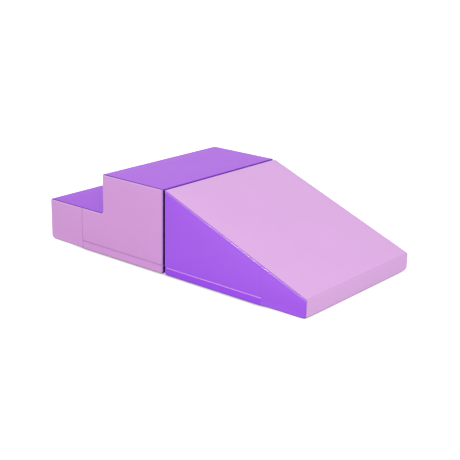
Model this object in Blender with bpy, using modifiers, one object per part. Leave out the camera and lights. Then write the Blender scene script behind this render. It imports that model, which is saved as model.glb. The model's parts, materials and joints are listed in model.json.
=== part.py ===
"""Foam climbing set: a two-step block and a ramp block that stand end to end.

Each block is foam in a sewn cover. The cover is cut from one rounded form, so its panels
meet along mitred seams at the edges, and a concealed zip runs round the foot of the sides
and back. Metres, +Z up, origin on the floor under the middle of the set, ramp towards +X.

A block is drawn in its own frame: back face on x = 0, toe or nose towards +x. The step block
is then turned half round, so that the two backs face each other.
"""

from math import cos, hypot, pi, sin, tan

import bmesh
import bpy
from mathutils import Matrix, Vector
from mathutils.geometry import intersect_point_line

# Driving sizes of the two blocks
BLOCK_WIDTH = 0.615
BLOCK_HEIGHT = 0.305
STEP_LOWER_DEPTH = 0.285
STEP_UPPER_DEPTH = 0.297
STEP_LOWER_HEIGHT = 0.1585
RAMP_LENGTH = 0.602
NOSE_HEIGHT = 0.068

# Edge radii
TREAD_EDGE_RADIUS = 0.005
NOTCH_RADIUS = 0.010
TOE_RADIUS = 0.013
BACK_TOP_RADIUS = 0.0045
BACK_FOOT_RADIUS = 0.010
NOSE_TOP_RADIUS = 0.009
NOSE_FOOT_RADIUS = 0.012
SIDE_EDGE_RADIUS = 0.004

# Cover
COVER_THICKNESS = 0.0012
FIT_GAP = 0.0003
CROWN_HEIGHT = 0.0016
CROWN_REACH = 0.055
STEP_SEAM_REACH = 0.4065
RAMP_SEAM_REACH = 0.424

# Concealed zip
STEP_ZIP_HEIGHT = 0.031
RAMP_ZIP_HEIGHT = 0.0275
ZIP_SLIT = 0.0032
ZIP_CORNER_RADIUS = 0.009
ZIP_PARK = 0.008
TAPE_THICKNESS = 0.0006
TAPE_WIDTH = 0.0095
FOLD_RECESS = 0.0004
COIL_WIDTH = 0.0022
COIL_DEPTH = 0.0024
COIL_SETBACK = 0.0008
COIL_CHAMFER = 0.0005

# Slider and pull
SLIDER_LENGTH = 0.012
SLIDER_WALL = 0.0009
SLIDER_PLAY = 0.0004
NECK_LENGTH = 0.0034
NECK_THICKNESS = 0.0011
CAP_LIFT = 0.0005
CAP_THICKNESS = 0.0009
CAP_WIDTH = 0.0054
BRIDGE_LENGTH = 0.0094
BRIDGE_WIDTH = 0.0017
BRIDGE_WALL = 0.0009
PULL_THICKNESS = 0.0011
PULL_WIDTH = 0.0066
PULL_LENGTH = 0.024
PULL_RAIL = 0.0017
PULL_PLAY = 0.00035
PULL_CORNER = 0.0024

# Joining strips on the two backs
HOOK_THICKNESS = 0.0032
LOOP_THICKNESS = 0.0046
STRIP_WIDTH = 0.050
STRIP_HEIGHT = 0.190
STRIP_FROM_SIDE = 0.085
STRIP_FROM_FLOOR = 0.065
STRIP_CORNER = 0.006

# Cutters
OVERRUN = 0.002
CUT_DEPTH = 0.003
REGION_DEPTH = 0.010

# Counts and shares
ARC_STEPS = 4
MITRE_ARC_STEPS = 5
RIM_STEPS = 3
CORE_RIM_STEPS = 2
ZIP_CORNER_STEPS = 4
CROWN_SHARES = (0.35, 1.0)
CUTTER_ROUND_SHARE = 1.13
NECK_TAPER_SHARE = 0.55
CAP_CORNER_SHARE = 0.33
PULL_BEVEL_SHARE = 0.4

# The back panels stand apart by the two joined strips and the gaps between them.
JOIN_GAP = HOOK_THICKNESS + LOOP_THICKNESS + 3 * FIT_GAP
STEP_LENGTH = STEP_LOWER_DEPTH + STEP_UPPER_DEPTH
SET_LENGTH = STEP_LENGTH + JOIN_GAP + RAMP_LENGTH
STEP_BACK_X = STEP_LENGTH - SET_LENGTH / 2
RAMP_BACK_X = STEP_BACK_X + JOIN_GAP

# Depths below the cover's outer face, at the zip
TAPE_FRONT = COVER_THICKNESS + FIT_GAP
TAPE_BACK = TAPE_FRONT + TAPE_THICKNESS
COIL_FRONT = TAPE_BACK + COIL_SETBACK
COIL_BACK = COIL_FRONT + COIL_DEPTH
SLIDER_INSIDE = COIL_BACK + SLIDER_PLAY
SLIDER_BACK = SLIDER_INSIDE + SLIDER_WALL
CHANNEL_HALF = FIT_GAP / 2 + COIL_WIDTH + SLIDER_PLAY
SLIDER_HALF = CHANNEL_HALF + SLIDER_WALL
CAP_TOP = CAP_LIFT + CAP_THICKNESS
PULL_AXIS = CAP_TOP + PULL_PLAY + PULL_THICKNESS / 2
BRIDGE_INSIDE = PULL_AXIS + PULL_THICKNESS / 2 + PULL_PLAY
BRIDGE_TOP = BRIDGE_INSIDE + BRIDGE_WALL

# Colours, linear, and roughness
PURPLE = (0.397, 0.122, 0.823)
BACK_VIOLET = (0.112, 0.012, 0.342)
STRIP_PURPLE = (0.147, 0.036, 0.456)
LILAC = (0.730, 0.413, 0.766)
PINK_LILAC = (0.665, 0.337, 0.701)
FOAM = (0.85, 0.85, 0.83)
METAL = (0.55, 0.55, 0.57)
BASE_GREY = (0.10, 0.09, 0.12)

STEP_CORNERS = (
    (0.0, 0.0, BACK_FOOT_RADIUS),
    (STEP_LENGTH, 0.0, TOE_RADIUS),
    (STEP_LENGTH, STEP_LOWER_HEIGHT, TREAD_EDGE_RADIUS),
    (STEP_UPPER_DEPTH, STEP_LOWER_HEIGHT, NOTCH_RADIUS),
    (STEP_UPPER_DEPTH, BLOCK_HEIGHT, TREAD_EDGE_RADIUS),
    (0.0, BLOCK_HEIGHT, BACK_TOP_RADIUS),
)
RAMP_CORNERS = (
    (0.0, 0.0, BACK_FOOT_RADIUS),
    (RAMP_LENGTH, 0.0, NOSE_FOOT_RADIUS),
    (RAMP_LENGTH, NOSE_HEIGHT, NOSE_TOP_RADIUS),
    (0.0, BLOCK_HEIGHT, BACK_TOP_RADIUS),
)


def clear_scene():
    for item in list(bpy.data.objects):
        bpy.data.objects.remove(item)


def new_collection(name):
    collection = bpy.data.collections.new(name)
    bpy.context.scene.collection.children.link(collection)
    return collection


def material(name, colour, roughness, metallic=0.0):
    made = bpy.data.materials.new(name)
    made.use_nodes = True
    shader = made.node_tree.nodes["Principled BSDF"]
    shader.inputs["Base Color"].default_value = (*colour, 1.0)
    shader.inputs["Roughness"].default_value = roughness
    shader.inputs["Metallic"].default_value = metallic
    made.diffuse_color = (*colour, 1.0)
    return made


def add_object(name, mesh, collection, parent=None, finish=None):
    made = bpy.data.objects.new(name, mesh)
    collection.objects.link(made)
    made.parent = parent
    if finish is not None:
        mesh.materials.clear()
        mesh.materials.append(finish)
    return made


def add_empty(name, location, turn=0.0, parent=None):
    made = bpy.data.objects.new(name, None)
    bpy.context.scene.collection.objects.link(made)
    made.location = location
    made.rotation_euler = (0.0, 0.0, turn)
    made.parent = parent
    return made


# Outlines

def edge_normal(start, end):
    """Inward normal of an outline edge; outlines run anticlockwise in x-z."""
    run = (end - start).normalized()
    return Vector((-run.y, run.x))


def inset_corners(corners, inset):
    """Corners of the outline moved inwards by inset, with their turn and new radius."""
    points = [Vector(corner[:2]) for corner in corners]
    moved = []
    for index, (point, corner) in enumerate(zip(points, corners)):
        before = points[index - 1]
        after = points[(index + 1) % len(points)]
        normal_in = edge_normal(before, point)
        normal_out = edge_normal(point, after)
        mitre = (normal_in + normal_out) / (1 + normal_in.dot(normal_out))
        run_in = (point - before).normalized()
        run_out = (after - point).normalized()
        convex = run_in.cross(run_out) > 0
        radius = corner[2] - inset if convex else corner[2] + inset
        moved.append((point + mitre * inset, max(radius, FIT_GAP), run_in, run_out, convex))
    return moved


def outline(corners, inset=0.0, steps=ARC_STEPS):
    """Closed outline with its corners rounded by arcs."""
    points = []
    for point, radius, run_in, run_out, convex in inset_corners(corners, inset):
        turn = run_in.angle(run_out)
        reach = radius * tan(turn / 2)
        side = 1 if convex else -1
        start = point - run_in * reach
        centre = start + Vector((-run_in.y, run_in.x)) * radius * side
        for step in range(steps + 1):
            swing = Matrix.Rotation(side * turn * step / steps, 2)
            points.append(centre + swing @ (start - centre))
    return points


def depth_inside(corners, point):
    """Distance from a point to the nearest edge of the sharp outline."""
    best = None
    for index, corner in enumerate(corners):
        start = Vector((*corners[index - 1][:2], 0.0))
        end = Vector((*corner[:2], 0.0))
        place = Vector((point.x, point.y, 0.0))
        foot, share = intersect_point_line(place, start, end)
        foot = start.lerp(end, min(max(share, 0.0), 1.0))
        gap = (place - foot).length
        best = gap if best is None else min(best, gap)
    return best


# Solids

def loft(rings):
    """Closed solid through rings of equal count, capped at both ends."""
    mesh = bpy.data.meshes.new("loft")
    work = bmesh.new()
    rows = [[work.verts.new(point) for point in ring] for ring in rings]
    count = len(rings[0])
    for low, high in zip(rows, rows[1:]):
        for index in range(count):
            after = (index + 1) % count
            work.faces.new((low[index], low[after], high[after], high[index]))
    work.faces.new(rows[0][::-1])
    work.faces.new(rows[-1])
    bmesh.ops.recalc_face_normals(work, faces=work.faces)
    work.to_mesh(mesh)
    work.free()
    return mesh


def prism(points, low_y, high_y):
    """Outline in x-z carried from low_y to high_y."""
    return loft([[(point[0], y, point[1]) for point in points] for y in (low_y, high_y)])


def box(low, high):
    mesh = bpy.data.meshes.new("box")
    work = bmesh.new()
    bmesh.ops.create_cube(work, size=1.0)
    size = Vector(high) - Vector(low)
    centre = (Vector(high) + Vector(low)) / 2
    place = Matrix.Translation(centre) @ Matrix.Diagonal(size).to_4x4()
    bmesh.ops.transform(work, matrix=place, verts=work.verts)
    work.to_mesh(mesh)
    work.free()
    return mesh


def flat_outline(points, thickness, holes=()):
    """2D curve filled on both sides and extruded by half its thickness each way, as a mesh."""
    curve = bpy.data.curves.new("outline", "CURVE")
    curve.dimensions = "2D"
    curve.fill_mode = "BOTH"
    curve.extrude = thickness / 2
    for ring in (points, *holes):
        spline = curve.splines.new("POLY")
        spline.points.add(len(ring) - 1)
        for place, point in zip(spline.points, ring):
            place.co = (point[0], point[1], 0.0, 1.0)
        spline.use_cyclic_u = True
    return curve_mesh(curve)


def curve_mesh(curve):
    """Mesh of a curve, with its loose caps welded and its faces turned out."""
    holder = bpy.data.objects.new("curve", curve)
    bpy.context.scene.collection.objects.link(holder)
    bpy.context.view_layer.update()
    mesh = bpy.data.meshes.new_from_object(holder.evaluated_get(bpy.context.evaluated_depsgraph_get()))
    bpy.data.objects.remove(holder)
    work = bmesh.new()
    work.from_mesh(mesh)
    bmesh.ops.remove_doubles(work, verts=work.verts, dist=FIT_GAP / 10)
    bmesh.ops.recalc_face_normals(work, faces=work.faces)
    work.to_mesh(mesh)
    work.free()
    return mesh


def sweep(section, path):
    """Section (outwards, upwards) carried along a path in x-y, as a mesh."""
    profile = bpy.data.curves.new("section", "CURVE")
    profile.dimensions = "2D"
    ring = profile.splines.new("POLY")
    ring.points.add(len(section) - 1)
    for place, point in zip(ring.points, section):
        place.co = (point[0], point[1], 0.0, 1.0)
    ring.use_cyclic_u = True
    carrier = bpy.data.objects.new("section", profile)
    bpy.context.scene.collection.objects.link(carrier)
    curve = bpy.data.curves.new("path", "CURVE")
    curve.dimensions = "2D"
    curve.bevel_mode = "OBJECT"
    curve.bevel_object = carrier
    curve.use_fill_caps = True
    line = curve.splines.new("POLY")
    line.points.add(len(path) - 1)
    for place, point in zip(line.points, path):
        place.co = (point[0], point[1], 0.0, 1.0)
    mesh = curve_mesh(curve)
    bpy.data.objects.remove(carrier)
    return mesh


def moved_mesh(mesh, matrix):
    mesh.transform(matrix)
    return mesh


class Cutters:
    """Keeps the cutting solids in their own collection, out of the model."""

    def __init__(self, collection):
        self.collection = collection

    def add(self, name, mesh, parent):
        cutter = add_object(name, mesh, self.collection, parent)
        cutter.hide_render = True
        cutter.display_type = "WIRE"
        return cutter


def cut(target, cutter, operation, solver="EXACT"):
    modifier = target.modifiers.new(f"{operation.lower()} {cutter.name}", "BOOLEAN")
    modifier.operation = operation
    modifier.solver = solver
    modifier.object = cutter


def cut_cover(target, cutter, operation):
    """Cut in the thin cover, whose facets run nearly parallel to those of its cutters."""
    cut(target, cutter, operation, "MANIFOLD")


class Block:
    """One foam block: its outline, its place and the shared forms that its pieces are cut from."""

    def __init__(self, name, corners, crowned, seam_reach, zip_height, back_x, turned, parts, cutters):
        self.name = name
        self.corners = corners
        self.crowned = crowned
        self.seam_reach = seam_reach
        self.zip_height = zip_height
        self.near = 1 if turned else -1
        self.parts = parts
        self.cutters = cutters
        self.length = max(corner[0] for corner in corners)
        self.empty = add_empty(f"{name}_block_origin", (back_x, 0.0, 0.0), pi if turned else 0.0)
        self.outer = self.form(0.0, RIM_STEPS)
        inside = self.form(COVER_THICKNESS, CORE_RIM_STEPS)
        self.inner = cutters.add(f"{name}_cover_inside", inside, self.empty)
        self.core = self.form(COVER_THICKNESS + FIT_GAP, CORE_RIM_STEPS)
        self.side_cutters = {}
        for side in (-1, 1):
            self.side_cutters[side] = (
                self.mitre(side, FIT_GAP / 2, "outside"),
                self.mitre(side, -FIT_GAP / 2, "band"),
            )

    def form(self, inset, rim_steps):
        """Rounded, slightly crowned body of the block, inset from the cover's outer face."""
        half = BLOCK_WIDTH / 2 - inset
        radius = SIDE_EDGE_RADIUS - inset
        rings = []
        for side in (-1, 1):
            for step in range(rim_steps + 1)[::-side]:
                angle = pi / 2 * step / rim_steps
                rim = outline(self.corners, inset + radius * (1 - sin(angle)))
                y = side * (half - radius * (1 - cos(angle)))
                rings.append([(point.x, y, point.y) for point in rim])
        mesh = loft(rings)
        self.crown(mesh, inset)
        return mesh

    def crown(self, mesh, inset):
        """Let the faces stand out a little from the seams that draw them in."""
        work = bmesh.new()
        work.from_mesh(mesh)
        planes = []
        points = [Vector(corner[:2]) for corner in self.corners]
        for index, start in enumerate(points[1:], 1):
            normal = edge_normal(start, points[(index + 1) % len(points)])
            for share in CROWN_SHARES:
                place = start + normal * CROWN_REACH * share
                planes.append(((place.x, 0.0, place.y), (normal.x, 0.0, normal.y)))
        zip_top = self.zip_height + ZIP_SLIT / 2
        for share in (0.0, *CROWN_SHARES):
            planes.append(((0.0, 0.0, zip_top + CROWN_REACH * share), (0.0, 0.0, 1.0)))
            for side in (-1, 1):
                y = side * (BLOCK_WIDTH / 2 - CROWN_REACH * share)
                if share:
                    planes.append(((0.0, y, 0.0), (0.0, 1.0, 0.0)))
        for place, normal in planes:
            everything = work.verts[:] + work.edges[:] + work.faces[:]
            bmesh.ops.bisect_plane(work, geom=everything, dist=FIT_GAP / 10, plane_co=place, plane_no=normal)
        for vertex in work.verts:
            vertex.co += self.crown_shift(vertex.co, inset, zip_top)
        bmesh.ops.triangulate(work, faces=[face for face in work.faces if len(face.verts) > 3])
        work.to_mesh(mesh)
        work.free()

    def crown_shift(self, place, inset, zip_top):
        """How far a point of the form moves outwards."""
        flat = Vector((place.x, place.z))
        side_depth = BLOCK_WIDTH / 2 - abs(place.y)
        if side_depth < inset + FIT_GAP / 10:
            depth = min(depth_inside(self.corners, flat) - SIDE_EDGE_RADIUS, place.z - zip_top)
            return Vector((0.0, self.swell(depth) * (1 if place.y > 0 else -1), 0.0))
        for index in self.crowned:
            first = self.corners[index]
            last = self.corners[(index + 1) % len(self.corners)]
            start = Vector(first[:2])
            end = Vector(last[:2])
            normal = edge_normal(start, end)
            along = (flat - start).dot((end - start).normalized())
            if abs((flat - start).dot(normal) - inset) < FIT_GAP / 10:
                beyond = (end - start).length - along
                depth = min(along - first[2], beyond - last[2], side_depth - SIDE_EDGE_RADIUS)
                lift = -normal * self.swell(depth)
                return Vector((lift.x, 0.0, lift.y))
        return Vector((0.0, 0.0, 0.0))

    def swell(self, depth):
        share = min(max(depth / CROWN_REACH, 0.0), 1.0)
        return CROWN_HEIGHT * (1 - (1 - share) ** 2)

    def mitre(self, side, shrink, label):
        """Solid whose 45 degree flanks part a side panel from the band round the block.

        Its corners are a little rounder than the block's, so that no two edges coincide.
        """
        corners = [(x, z, radius * CUTTER_ROUND_SHARE) for x, z, radius in self.corners]
        rings = []
        for depth in (-OVERRUN, CUT_DEPTH):
            rim = outline(corners, depth + shrink * 2 ** 0.5, MITRE_ARC_STEPS)
            rings.append([(point.x, side * (BLOCK_WIDTH / 2 - depth), point.y) for point in rim])
        name = f"{self.name}_mitre_{label}_{'low' if side < 0 else 'high'}"
        return self.cutters.add(name, loft(rings), self.empty)

    def sector(self, first, last):
        """Solid that holds the band between two corners of the outline, to the mitres there."""
        count = len(self.corners)
        wanted = [(first + step) % count for step in range((last - first) % count + 1)]
        outer = inset_corners(self.corners, -CUT_DEPTH)
        inner = inset_corners(self.corners, REGION_DEPTH)
        runs = [item[2].angle(item[3]) for item in outer]
        front = [outer[index][0].copy() for index in wanted]
        back = [inner[index][0].copy() for index in wanted]
        for end, corner, run in ((0, first, outer[first][3]), (-1, last, -outer[last][2])):
            shift = run * FIT_GAP / 2 / cos(runs[corner] / 2)
            front[end] += shift
            back[end] += shift
        name = f"{self.name}_sector_{first}_{last}"
        reach = BLOCK_WIDTH / 2 + OVERRUN
        return self.cutters.add(name, prism(front + back[::-1], -reach, reach), self.empty)

    def slab(self, label, low, high):
        """Box between two heights or reaches, wide enough to pass the whole block."""
        reach = BLOCK_WIDTH / 2 + REGION_DEPTH
        mesh = box((low[0], -reach, low[1]), (high[0], reach, high[1]))
        return self.cutters.add(f"{self.name}_{label}", mesh, self.empty)

    def band_panel(self, name, first, last, finish, keep=None):
        """Cover panel between two corners of the outline."""
        panel = add_object(name, self.outer.copy(), self.parts, self.empty, finish)
        cut_cover(panel, self.sector(first, last), "INTERSECT")
        cut_cover(panel, self.inner, "DIFFERENCE")
        for side in (-1, 1):
            cut_cover(panel, self.side_cutters[side][1], "DIFFERENCE")
        if keep is not None:
            cut_cover(panel, keep, "INTERSECT")
        return panel

    def side_panel(self, name, side, finish, keep):
        """Piece of a side of the cover, from mitre to mitre."""
        panel = add_object(name, self.outer.copy(), self.parts, self.empty, finish)
        cut_cover(panel, self.side_cutters[side][0], "INTERSECT")
        cut_cover(panel, self.inner, "DIFFERENCE")
        cut_cover(panel, keep, "INTERSECT")
        return panel

    def zip_path(self, beyond=0.0):
        """Route of the zip: along one side, round the back and along the other side."""
        half = BLOCK_WIDTH / 2
        end = self.seam_reach + beyond
        radius = ZIP_CORNER_RADIUS
        points = [(end, half)]
        for side, turn_from in ((1, 0.0), (-1, pi / 2)):
            for step in range(ZIP_CORNER_STEPS + 1):
                angle = pi / 2 * (1 + step / ZIP_CORNER_STEPS) + turn_from
                centre_y = side * (half - radius)
                points.append((radius + radius * cos(angle), centre_y + radius * sin(angle)))
        points.append((end, -half))
        return points

    def raise_zip(self, mesh):
        return moved_mesh(mesh, Matrix.Translation((0.0, 0.0, self.zip_height)))

    def build_cover_sides(self, front_word, finish):
        """Side panels above the zip, hems below it and the pieces ahead of the upright seam."""
        top = BLOCK_HEIGHT + REGION_DEPTH
        ahead = self.length + REGION_DEPTH
        half_slit = ZIP_SLIT / 2
        half_gap = FIT_GAP / 2
        seam = self.seam_reach
        slit_top = self.zip_height + half_slit
        slit_foot = self.zip_height - half_slit
        above = self.slab("above_zip", (-REGION_DEPTH, slit_top), (seam - half_gap, top))
        below = self.slab("below_zip", (-REGION_DEPTH, -REGION_DEPTH), (seam - half_gap, slit_foot))
        front = self.slab("ahead_of_seam", (seam + half_gap, -REGION_DEPTH), (ahead, top))
        for label, side in (("near", self.near), ("far", -self.near)):
            self.side_panel(f"{self.name}_side_{label}", side, finish, above)
            self.side_panel(f"{self.name}_hem_{label}", side, finish, below)
            self.side_panel(f"{self.name}_{front_word}_{label}", side, finish, front)
        return above, below

    def zip_section(self, up):
        """One zip half: folded edge in the slit, tape behind the cover, coil behind the fold."""
        low = FIT_GAP / 2
        edge = ZIP_SLIT / 2 - FIT_GAP
        coil_high = low + COIL_WIDTH
        section = [
            (-FOLD_RECESS, low),
            (-FOLD_RECESS, edge),
            (-TAPE_FRONT, edge),
            (-TAPE_FRONT, TAPE_WIDTH),
            (-TAPE_BACK, TAPE_WIDTH),
            (-TAPE_BACK, low + TAPE_THICKNESS),
            (-COIL_FRONT, low + TAPE_THICKNESS),
            (-COIL_FRONT, coil_high - COIL_CHAMFER),
            (-COIL_FRONT - COIL_CHAMFER, coil_high),
            (-COIL_BACK + COIL_CHAMFER, coil_high),
            (-COIL_BACK, coil_high - COIL_CHAMFER),
            (-COIL_BACK, low + COIL_CHAMFER),
            (-COIL_BACK + COIL_CHAMFER, low),
        ]
        return [(across, height * up) for across, height in section]

    def build_zip(self, finish):
        """Two zip halves, whose folds and coils end where the slider's neck parts them."""
        far = -self.near
        neck_start = self.seam_reach - ZIP_PARK - NECK_LENGTH - SLIDER_PLAY
        far_y = far * BLOCK_WIDTH / 2
        reach = far * (SLIDER_BACK + OVERRUN)
        ends = sorted((far_y - reach, far_y + reach))
        behind = sorted((far_y - reach, far_y - far * (TAPE_BACK + FIT_GAP)))
        height = self.zip_height
        opening = box(
            (neck_start, ends[0], height - ZIP_SLIT / 2 + FIT_GAP / 2),
            (self.seam_reach + OVERRUN, ends[1], height + ZIP_SLIT / 2 - FIT_GAP / 2),
        )
        opening = self.cutters.add(f"{self.name}_zip_opening", opening, self.empty)
        channel = box(
            (neck_start, behind[0], height - CHANNEL_HALF),
            (self.seam_reach + OVERRUN, behind[1], height + CHANNEL_HALF),
        )
        channel = self.cutters.add(f"{self.name}_coil_end", channel, self.empty)
        for label, up in (("upper", 1), ("lower", -1)):
            mesh = self.raise_zip(sweep(self.zip_section(up), self.zip_path(-FIT_GAP)))
            half = add_object(f"{self.name}_zip_{label}", mesh, self.parts, self.empty, finish)
            cut(half, opening, "DIFFERENCE")
            cut(half, channel, "DIFFERENCE")

    def zip_groove(self):
        """Room that the foam gives to the tapes and, behind them, to coil and slider."""
        wide = TAPE_WIDTH + FIT_GAP
        narrow = SLIDER_HALF + SLIDER_PLAY
        shallow = TAPE_BACK + FIT_GAP
        deep = SLIDER_BACK + SLIDER_PLAY
        section = [
            (OVERRUN, -wide),
            (OVERRUN, wide),
            (-shallow, wide),
            (-shallow, narrow),
            (-deep, narrow),
            (-deep, -narrow),
            (-shallow, -narrow),
            (-shallow, -wide),
        ]
        mesh = self.raise_zip(sweep(section, self.zip_path(FIT_GAP)))
        return self.cutters.add(f"{self.name}_zip_groove", mesh, self.empty)

    def add_core(self, name, finish):
        return add_object(name, self.core.copy(), self.parts, self.empty, finish)

    def build_slider(self, finish):
        """Slider and pull, parked at the closed end of the zip on the far side."""
        far = -self.near
        place = (self.seam_reach - ZIP_PARK - SLIDER_LENGTH, far * BLOCK_WIDTH / 2, self.zip_height)
        runner = add_empty(f"{self.name}_zip_runner", place, 0.0, self.empty)
        runner.rotation_euler.x = 0.0 if far > 0 else pi
        name = f"{self.name}_zip_slider"
        slider = add_object(name, slider_channel(), self.parts, runner, finish)
        for label, mesh in (("neck", slider_neck()), ("cap", slider_cap()), ("bridge", slider_bridge())):
            cut(slider, self.cutters.add(f"{name}_{label}", mesh, runner), "UNION")
        pivot = add_empty(f"{self.name}_pull_pivot", (SLIDER_LENGTH / 2, PULL_AXIS, 0.0), 0.0, runner)
        pull = add_object(f"{self.name}_zip_pull", pull_plate(), self.parts, pivot, finish)
        bevel = pull.modifiers.new("rounded edges", "BEVEL")
        bevel.width = PULL_THICKNESS * PULL_BEVEL_SHARE
        bevel.segments = 2
        bevel.limit_method = "ANGLE"
        return runner, pivot


# Slider and pull, drawn with x along the zip, y out of the cover and z up

def upright():
    """Turns a flat outline from x-y into x-z, standing across the zip."""
    return Matrix.Rotation(pi / 2, 4, "X")


def slider_channel():
    """Back plate with two flanges that hold the coils."""
    front = -(TAPE_BACK + SLIDER_PLAY)
    corner = SLIDER_WALL / 2
    section = [
        (SLIDER_HALF - corner, -SLIDER_BACK),
        (SLIDER_HALF, -SLIDER_BACK + corner),
        (SLIDER_HALF, front),
        (CHANNEL_HALF, front),
        (CHANNEL_HALF, -SLIDER_INSIDE),
    ]
    section += [(-across, out) for across, out in reversed(section)]
    return loft([[(x, out, across) for across, out in section] for x in (0.0, SLIDER_LENGTH)])


def slider_neck():
    """Divider that parts the coils and passes out through the slit, pointed towards them."""
    low = SLIDER_LENGTH - NECK_LENGTH
    half = NECK_THICKNESS / 2
    nose = NECK_LENGTH * NECK_TAPER_SHARE
    section = [
        (SLIDER_LENGTH, -half),
        (SLIDER_LENGTH, half),
        (low + nose, half),
        (low, half / 2),
        (low, -half / 2),
        (low + nose, -half),
    ]
    inside = -SLIDER_BACK + SLIDER_WALL / 2
    outside = CAP_LIFT + CAP_THICKNESS / 2
    return loft([[(x, out, z) for x, z in section] for out in (inside, outside)])


def rounded_rectangle(length, width, radius):
    """Outline about the origin with round corners."""
    points = []
    centres = (
        (length / 2 - radius, width / 2 - radius),
        (radius - length / 2, width / 2 - radius),
        (radius - length / 2, radius - width / 2),
        (length / 2 - radius, radius - width / 2),
    )
    for quarter, (x, y) in enumerate(centres):
        for step in range(ARC_STEPS + 1):
            angle = pi / 2 * (quarter + step / ARC_STEPS)
            points.append((x + radius * cos(angle), y + radius * sin(angle)))
    return points


def slider_cap():
    """Plate outside the cover that carries the bridge."""
    rim = rounded_rectangle(SLIDER_LENGTH, CAP_WIDTH, CAP_WIDTH * CAP_CORNER_SHARE)
    shape = flat_outline(rim, CAP_THICKNESS)
    place = Matrix.Translation((SLIDER_LENGTH / 2, CAP_LIFT + CAP_THICKNESS / 2, 0.0))
    return moved_mesh(shape, place @ upright())


def bridge_arch(length, top, foot):
    """Arch outline in x-y with round shoulders."""
    shoulder = (top - foot) / 2
    points = [(-length / 2, foot)]
    for side, start in ((-1, pi), (1, pi / 2)):
        for step in range(ARC_STEPS + 1):
            angle = start - pi / 2 * step / ARC_STEPS
            centre_x = side * (length / 2 - shoulder)
            points.append((centre_x + shoulder * cos(angle), top - shoulder + shoulder * sin(angle)))
    points.append((length / 2, foot))
    return points


def slider_bridge():
    """Arch over the pull's bar."""
    foot = CAP_LIFT + CAP_THICKNESS / 2
    outside = bridge_arch(BRIDGE_LENGTH, BRIDGE_TOP, foot)
    inside = bridge_arch(BRIDGE_LENGTH - 2 * BRIDGE_WALL, BRIDGE_INSIDE, foot)
    shape = flat_outline(outside + inside[::-1], BRIDGE_WIDTH)
    return moved_mesh(shape, Matrix.Translation((SLIDER_LENGTH / 2, 0.0, 0.0)))


def pull_plate():
    """Tab with a window at one end, whose bar lies under the bridge on the pivot."""
    bar = PULL_THICKNESS / 2
    window_far = hypot(BRIDGE_LENGTH / 2, BRIDGE_TOP - PULL_AXIS) + PULL_PLAY
    end = bar
    tip = bar - PULL_LENGTH
    centre = (end + tip) / 2
    outside = [(x + centre, z) for x, z in rounded_rectangle(PULL_LENGTH, PULL_WIDTH, PULL_CORNER)]
    half = PULL_WIDTH / 2 - PULL_RAIL
    window = [(-bar, -half), (-bar, half), (-window_far, half), (-window_far, -half)]
    return moved_mesh(flat_outline(outside, PULL_THICKNESS, (window,)), upright())


def build_strips(block, label, thickness, finish):
    """Two upright fastening strips on the back panel."""
    for word, side in (("near", block.near), ("far", -block.near)):
        shape = flat_outline(rounded_rectangle(STRIP_WIDTH, STRIP_HEIGHT, STRIP_CORNER), thickness)
        stand = Matrix.Rotation(pi / 2, 4, "Z") @ upright()
        name = f"{block.name}_{label}_strip_{word}"
        strip = add_object(name, moved_mesh(shape, stand), block.parts, block.empty, finish)
        across = side * (BLOCK_WIDTH / 2 - STRIP_FROM_SIDE - STRIP_WIDTH / 2)
        strip.location = (-FIT_GAP - thickness / 2, across, STRIP_FROM_FLOOR + STRIP_HEIGHT / 2)


def build_step_block(parts, cutters, finishes):
    seam_and_zip = (STEP_SEAM_REACH, STEP_ZIP_HEIGHT)
    block = Block("step", STEP_CORNERS, (1, 2, 3, 4), *seam_and_zip, STEP_BACK_X, True, parts, cutters)
    purple = finishes["purple cover"]
    above, below = block.build_cover_sides("toe", finishes["pink lilac cover"])
    block.band_panel("step_base_panel", 0, 1, finishes["base cover"])
    block.band_panel("step_riser_lower", 1, 2, purple)
    block.band_panel("step_tread_lower", 2, 3, purple)
    block.band_panel("step_riser_upper", 3, 4, purple)
    block.band_panel("step_tread_upper", 4, 5, purple)
    block.band_panel("step_back_panel", 5, 0, finishes["back cover"], above)
    block.band_panel("step_hem_back", 5, 0, finishes["back cover"], below)
    block.build_zip(finishes["zip tape"])
    block.build_slider(finishes["zip metal"])
    build_strips(block, "hook", HOOK_THICKNESS, finishes["purple strip"])
    joint = STEP_LOWER_HEIGHT - COVER_THICKNESS - FIT_GAP
    top = BLOCK_HEIGHT + REGION_DEPTH
    riser = STEP_UPPER_DEPTH + CROWN_HEIGHT
    notch_end = STEP_UPPER_DEPTH + NOTCH_RADIUS
    upper = block.slab("upper_slab", (-REGION_DEPTH, joint + FIT_GAP / 2), (riser, top))
    glued_face = block.slab("glued_face", (-REGION_DEPTH, joint - FIT_GAP / 2), (notch_end, top))
    lower_core = block.add_core("step_core_lower", finishes["foam"])
    cut(lower_core, glued_face, "DIFFERENCE")
    cut(lower_core, block.zip_groove(), "DIFFERENCE")
    upper_core = block.add_core("step_core_upper", finishes["foam"])
    cut(upper_core, upper, "INTERSECT")


def build_ramp_block(parts, cutters, finishes):
    seam_and_zip = (RAMP_SEAM_REACH, RAMP_ZIP_HEIGHT)
    block = Block("ramp", RAMP_CORNERS, (2,), *seam_and_zip, RAMP_BACK_X, False, parts, cutters)
    purple = finishes["purple cover"]
    above, below = block.build_cover_sides("nose", purple)
    block.band_panel("ramp_base_panel", 0, 1, finishes["base cover"])
    block.band_panel("ramp_slope_panel", 1, 3, finishes["lilac cover"])
    block.band_panel("ramp_back_panel", 3, 0, finishes["back cover"], above)
    block.band_panel("ramp_hem_back", 3, 0, finishes["back cover"], below)
    block.build_zip(finishes["zip tape"])
    block.build_slider(finishes["zip metal"])
    build_strips(block, "loop", LOOP_THICKNESS, finishes["purple strip"])
    core = block.add_core("ramp_core", finishes["foam"])
    cut(core, block.zip_groove(), "DIFFERENCE")


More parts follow.
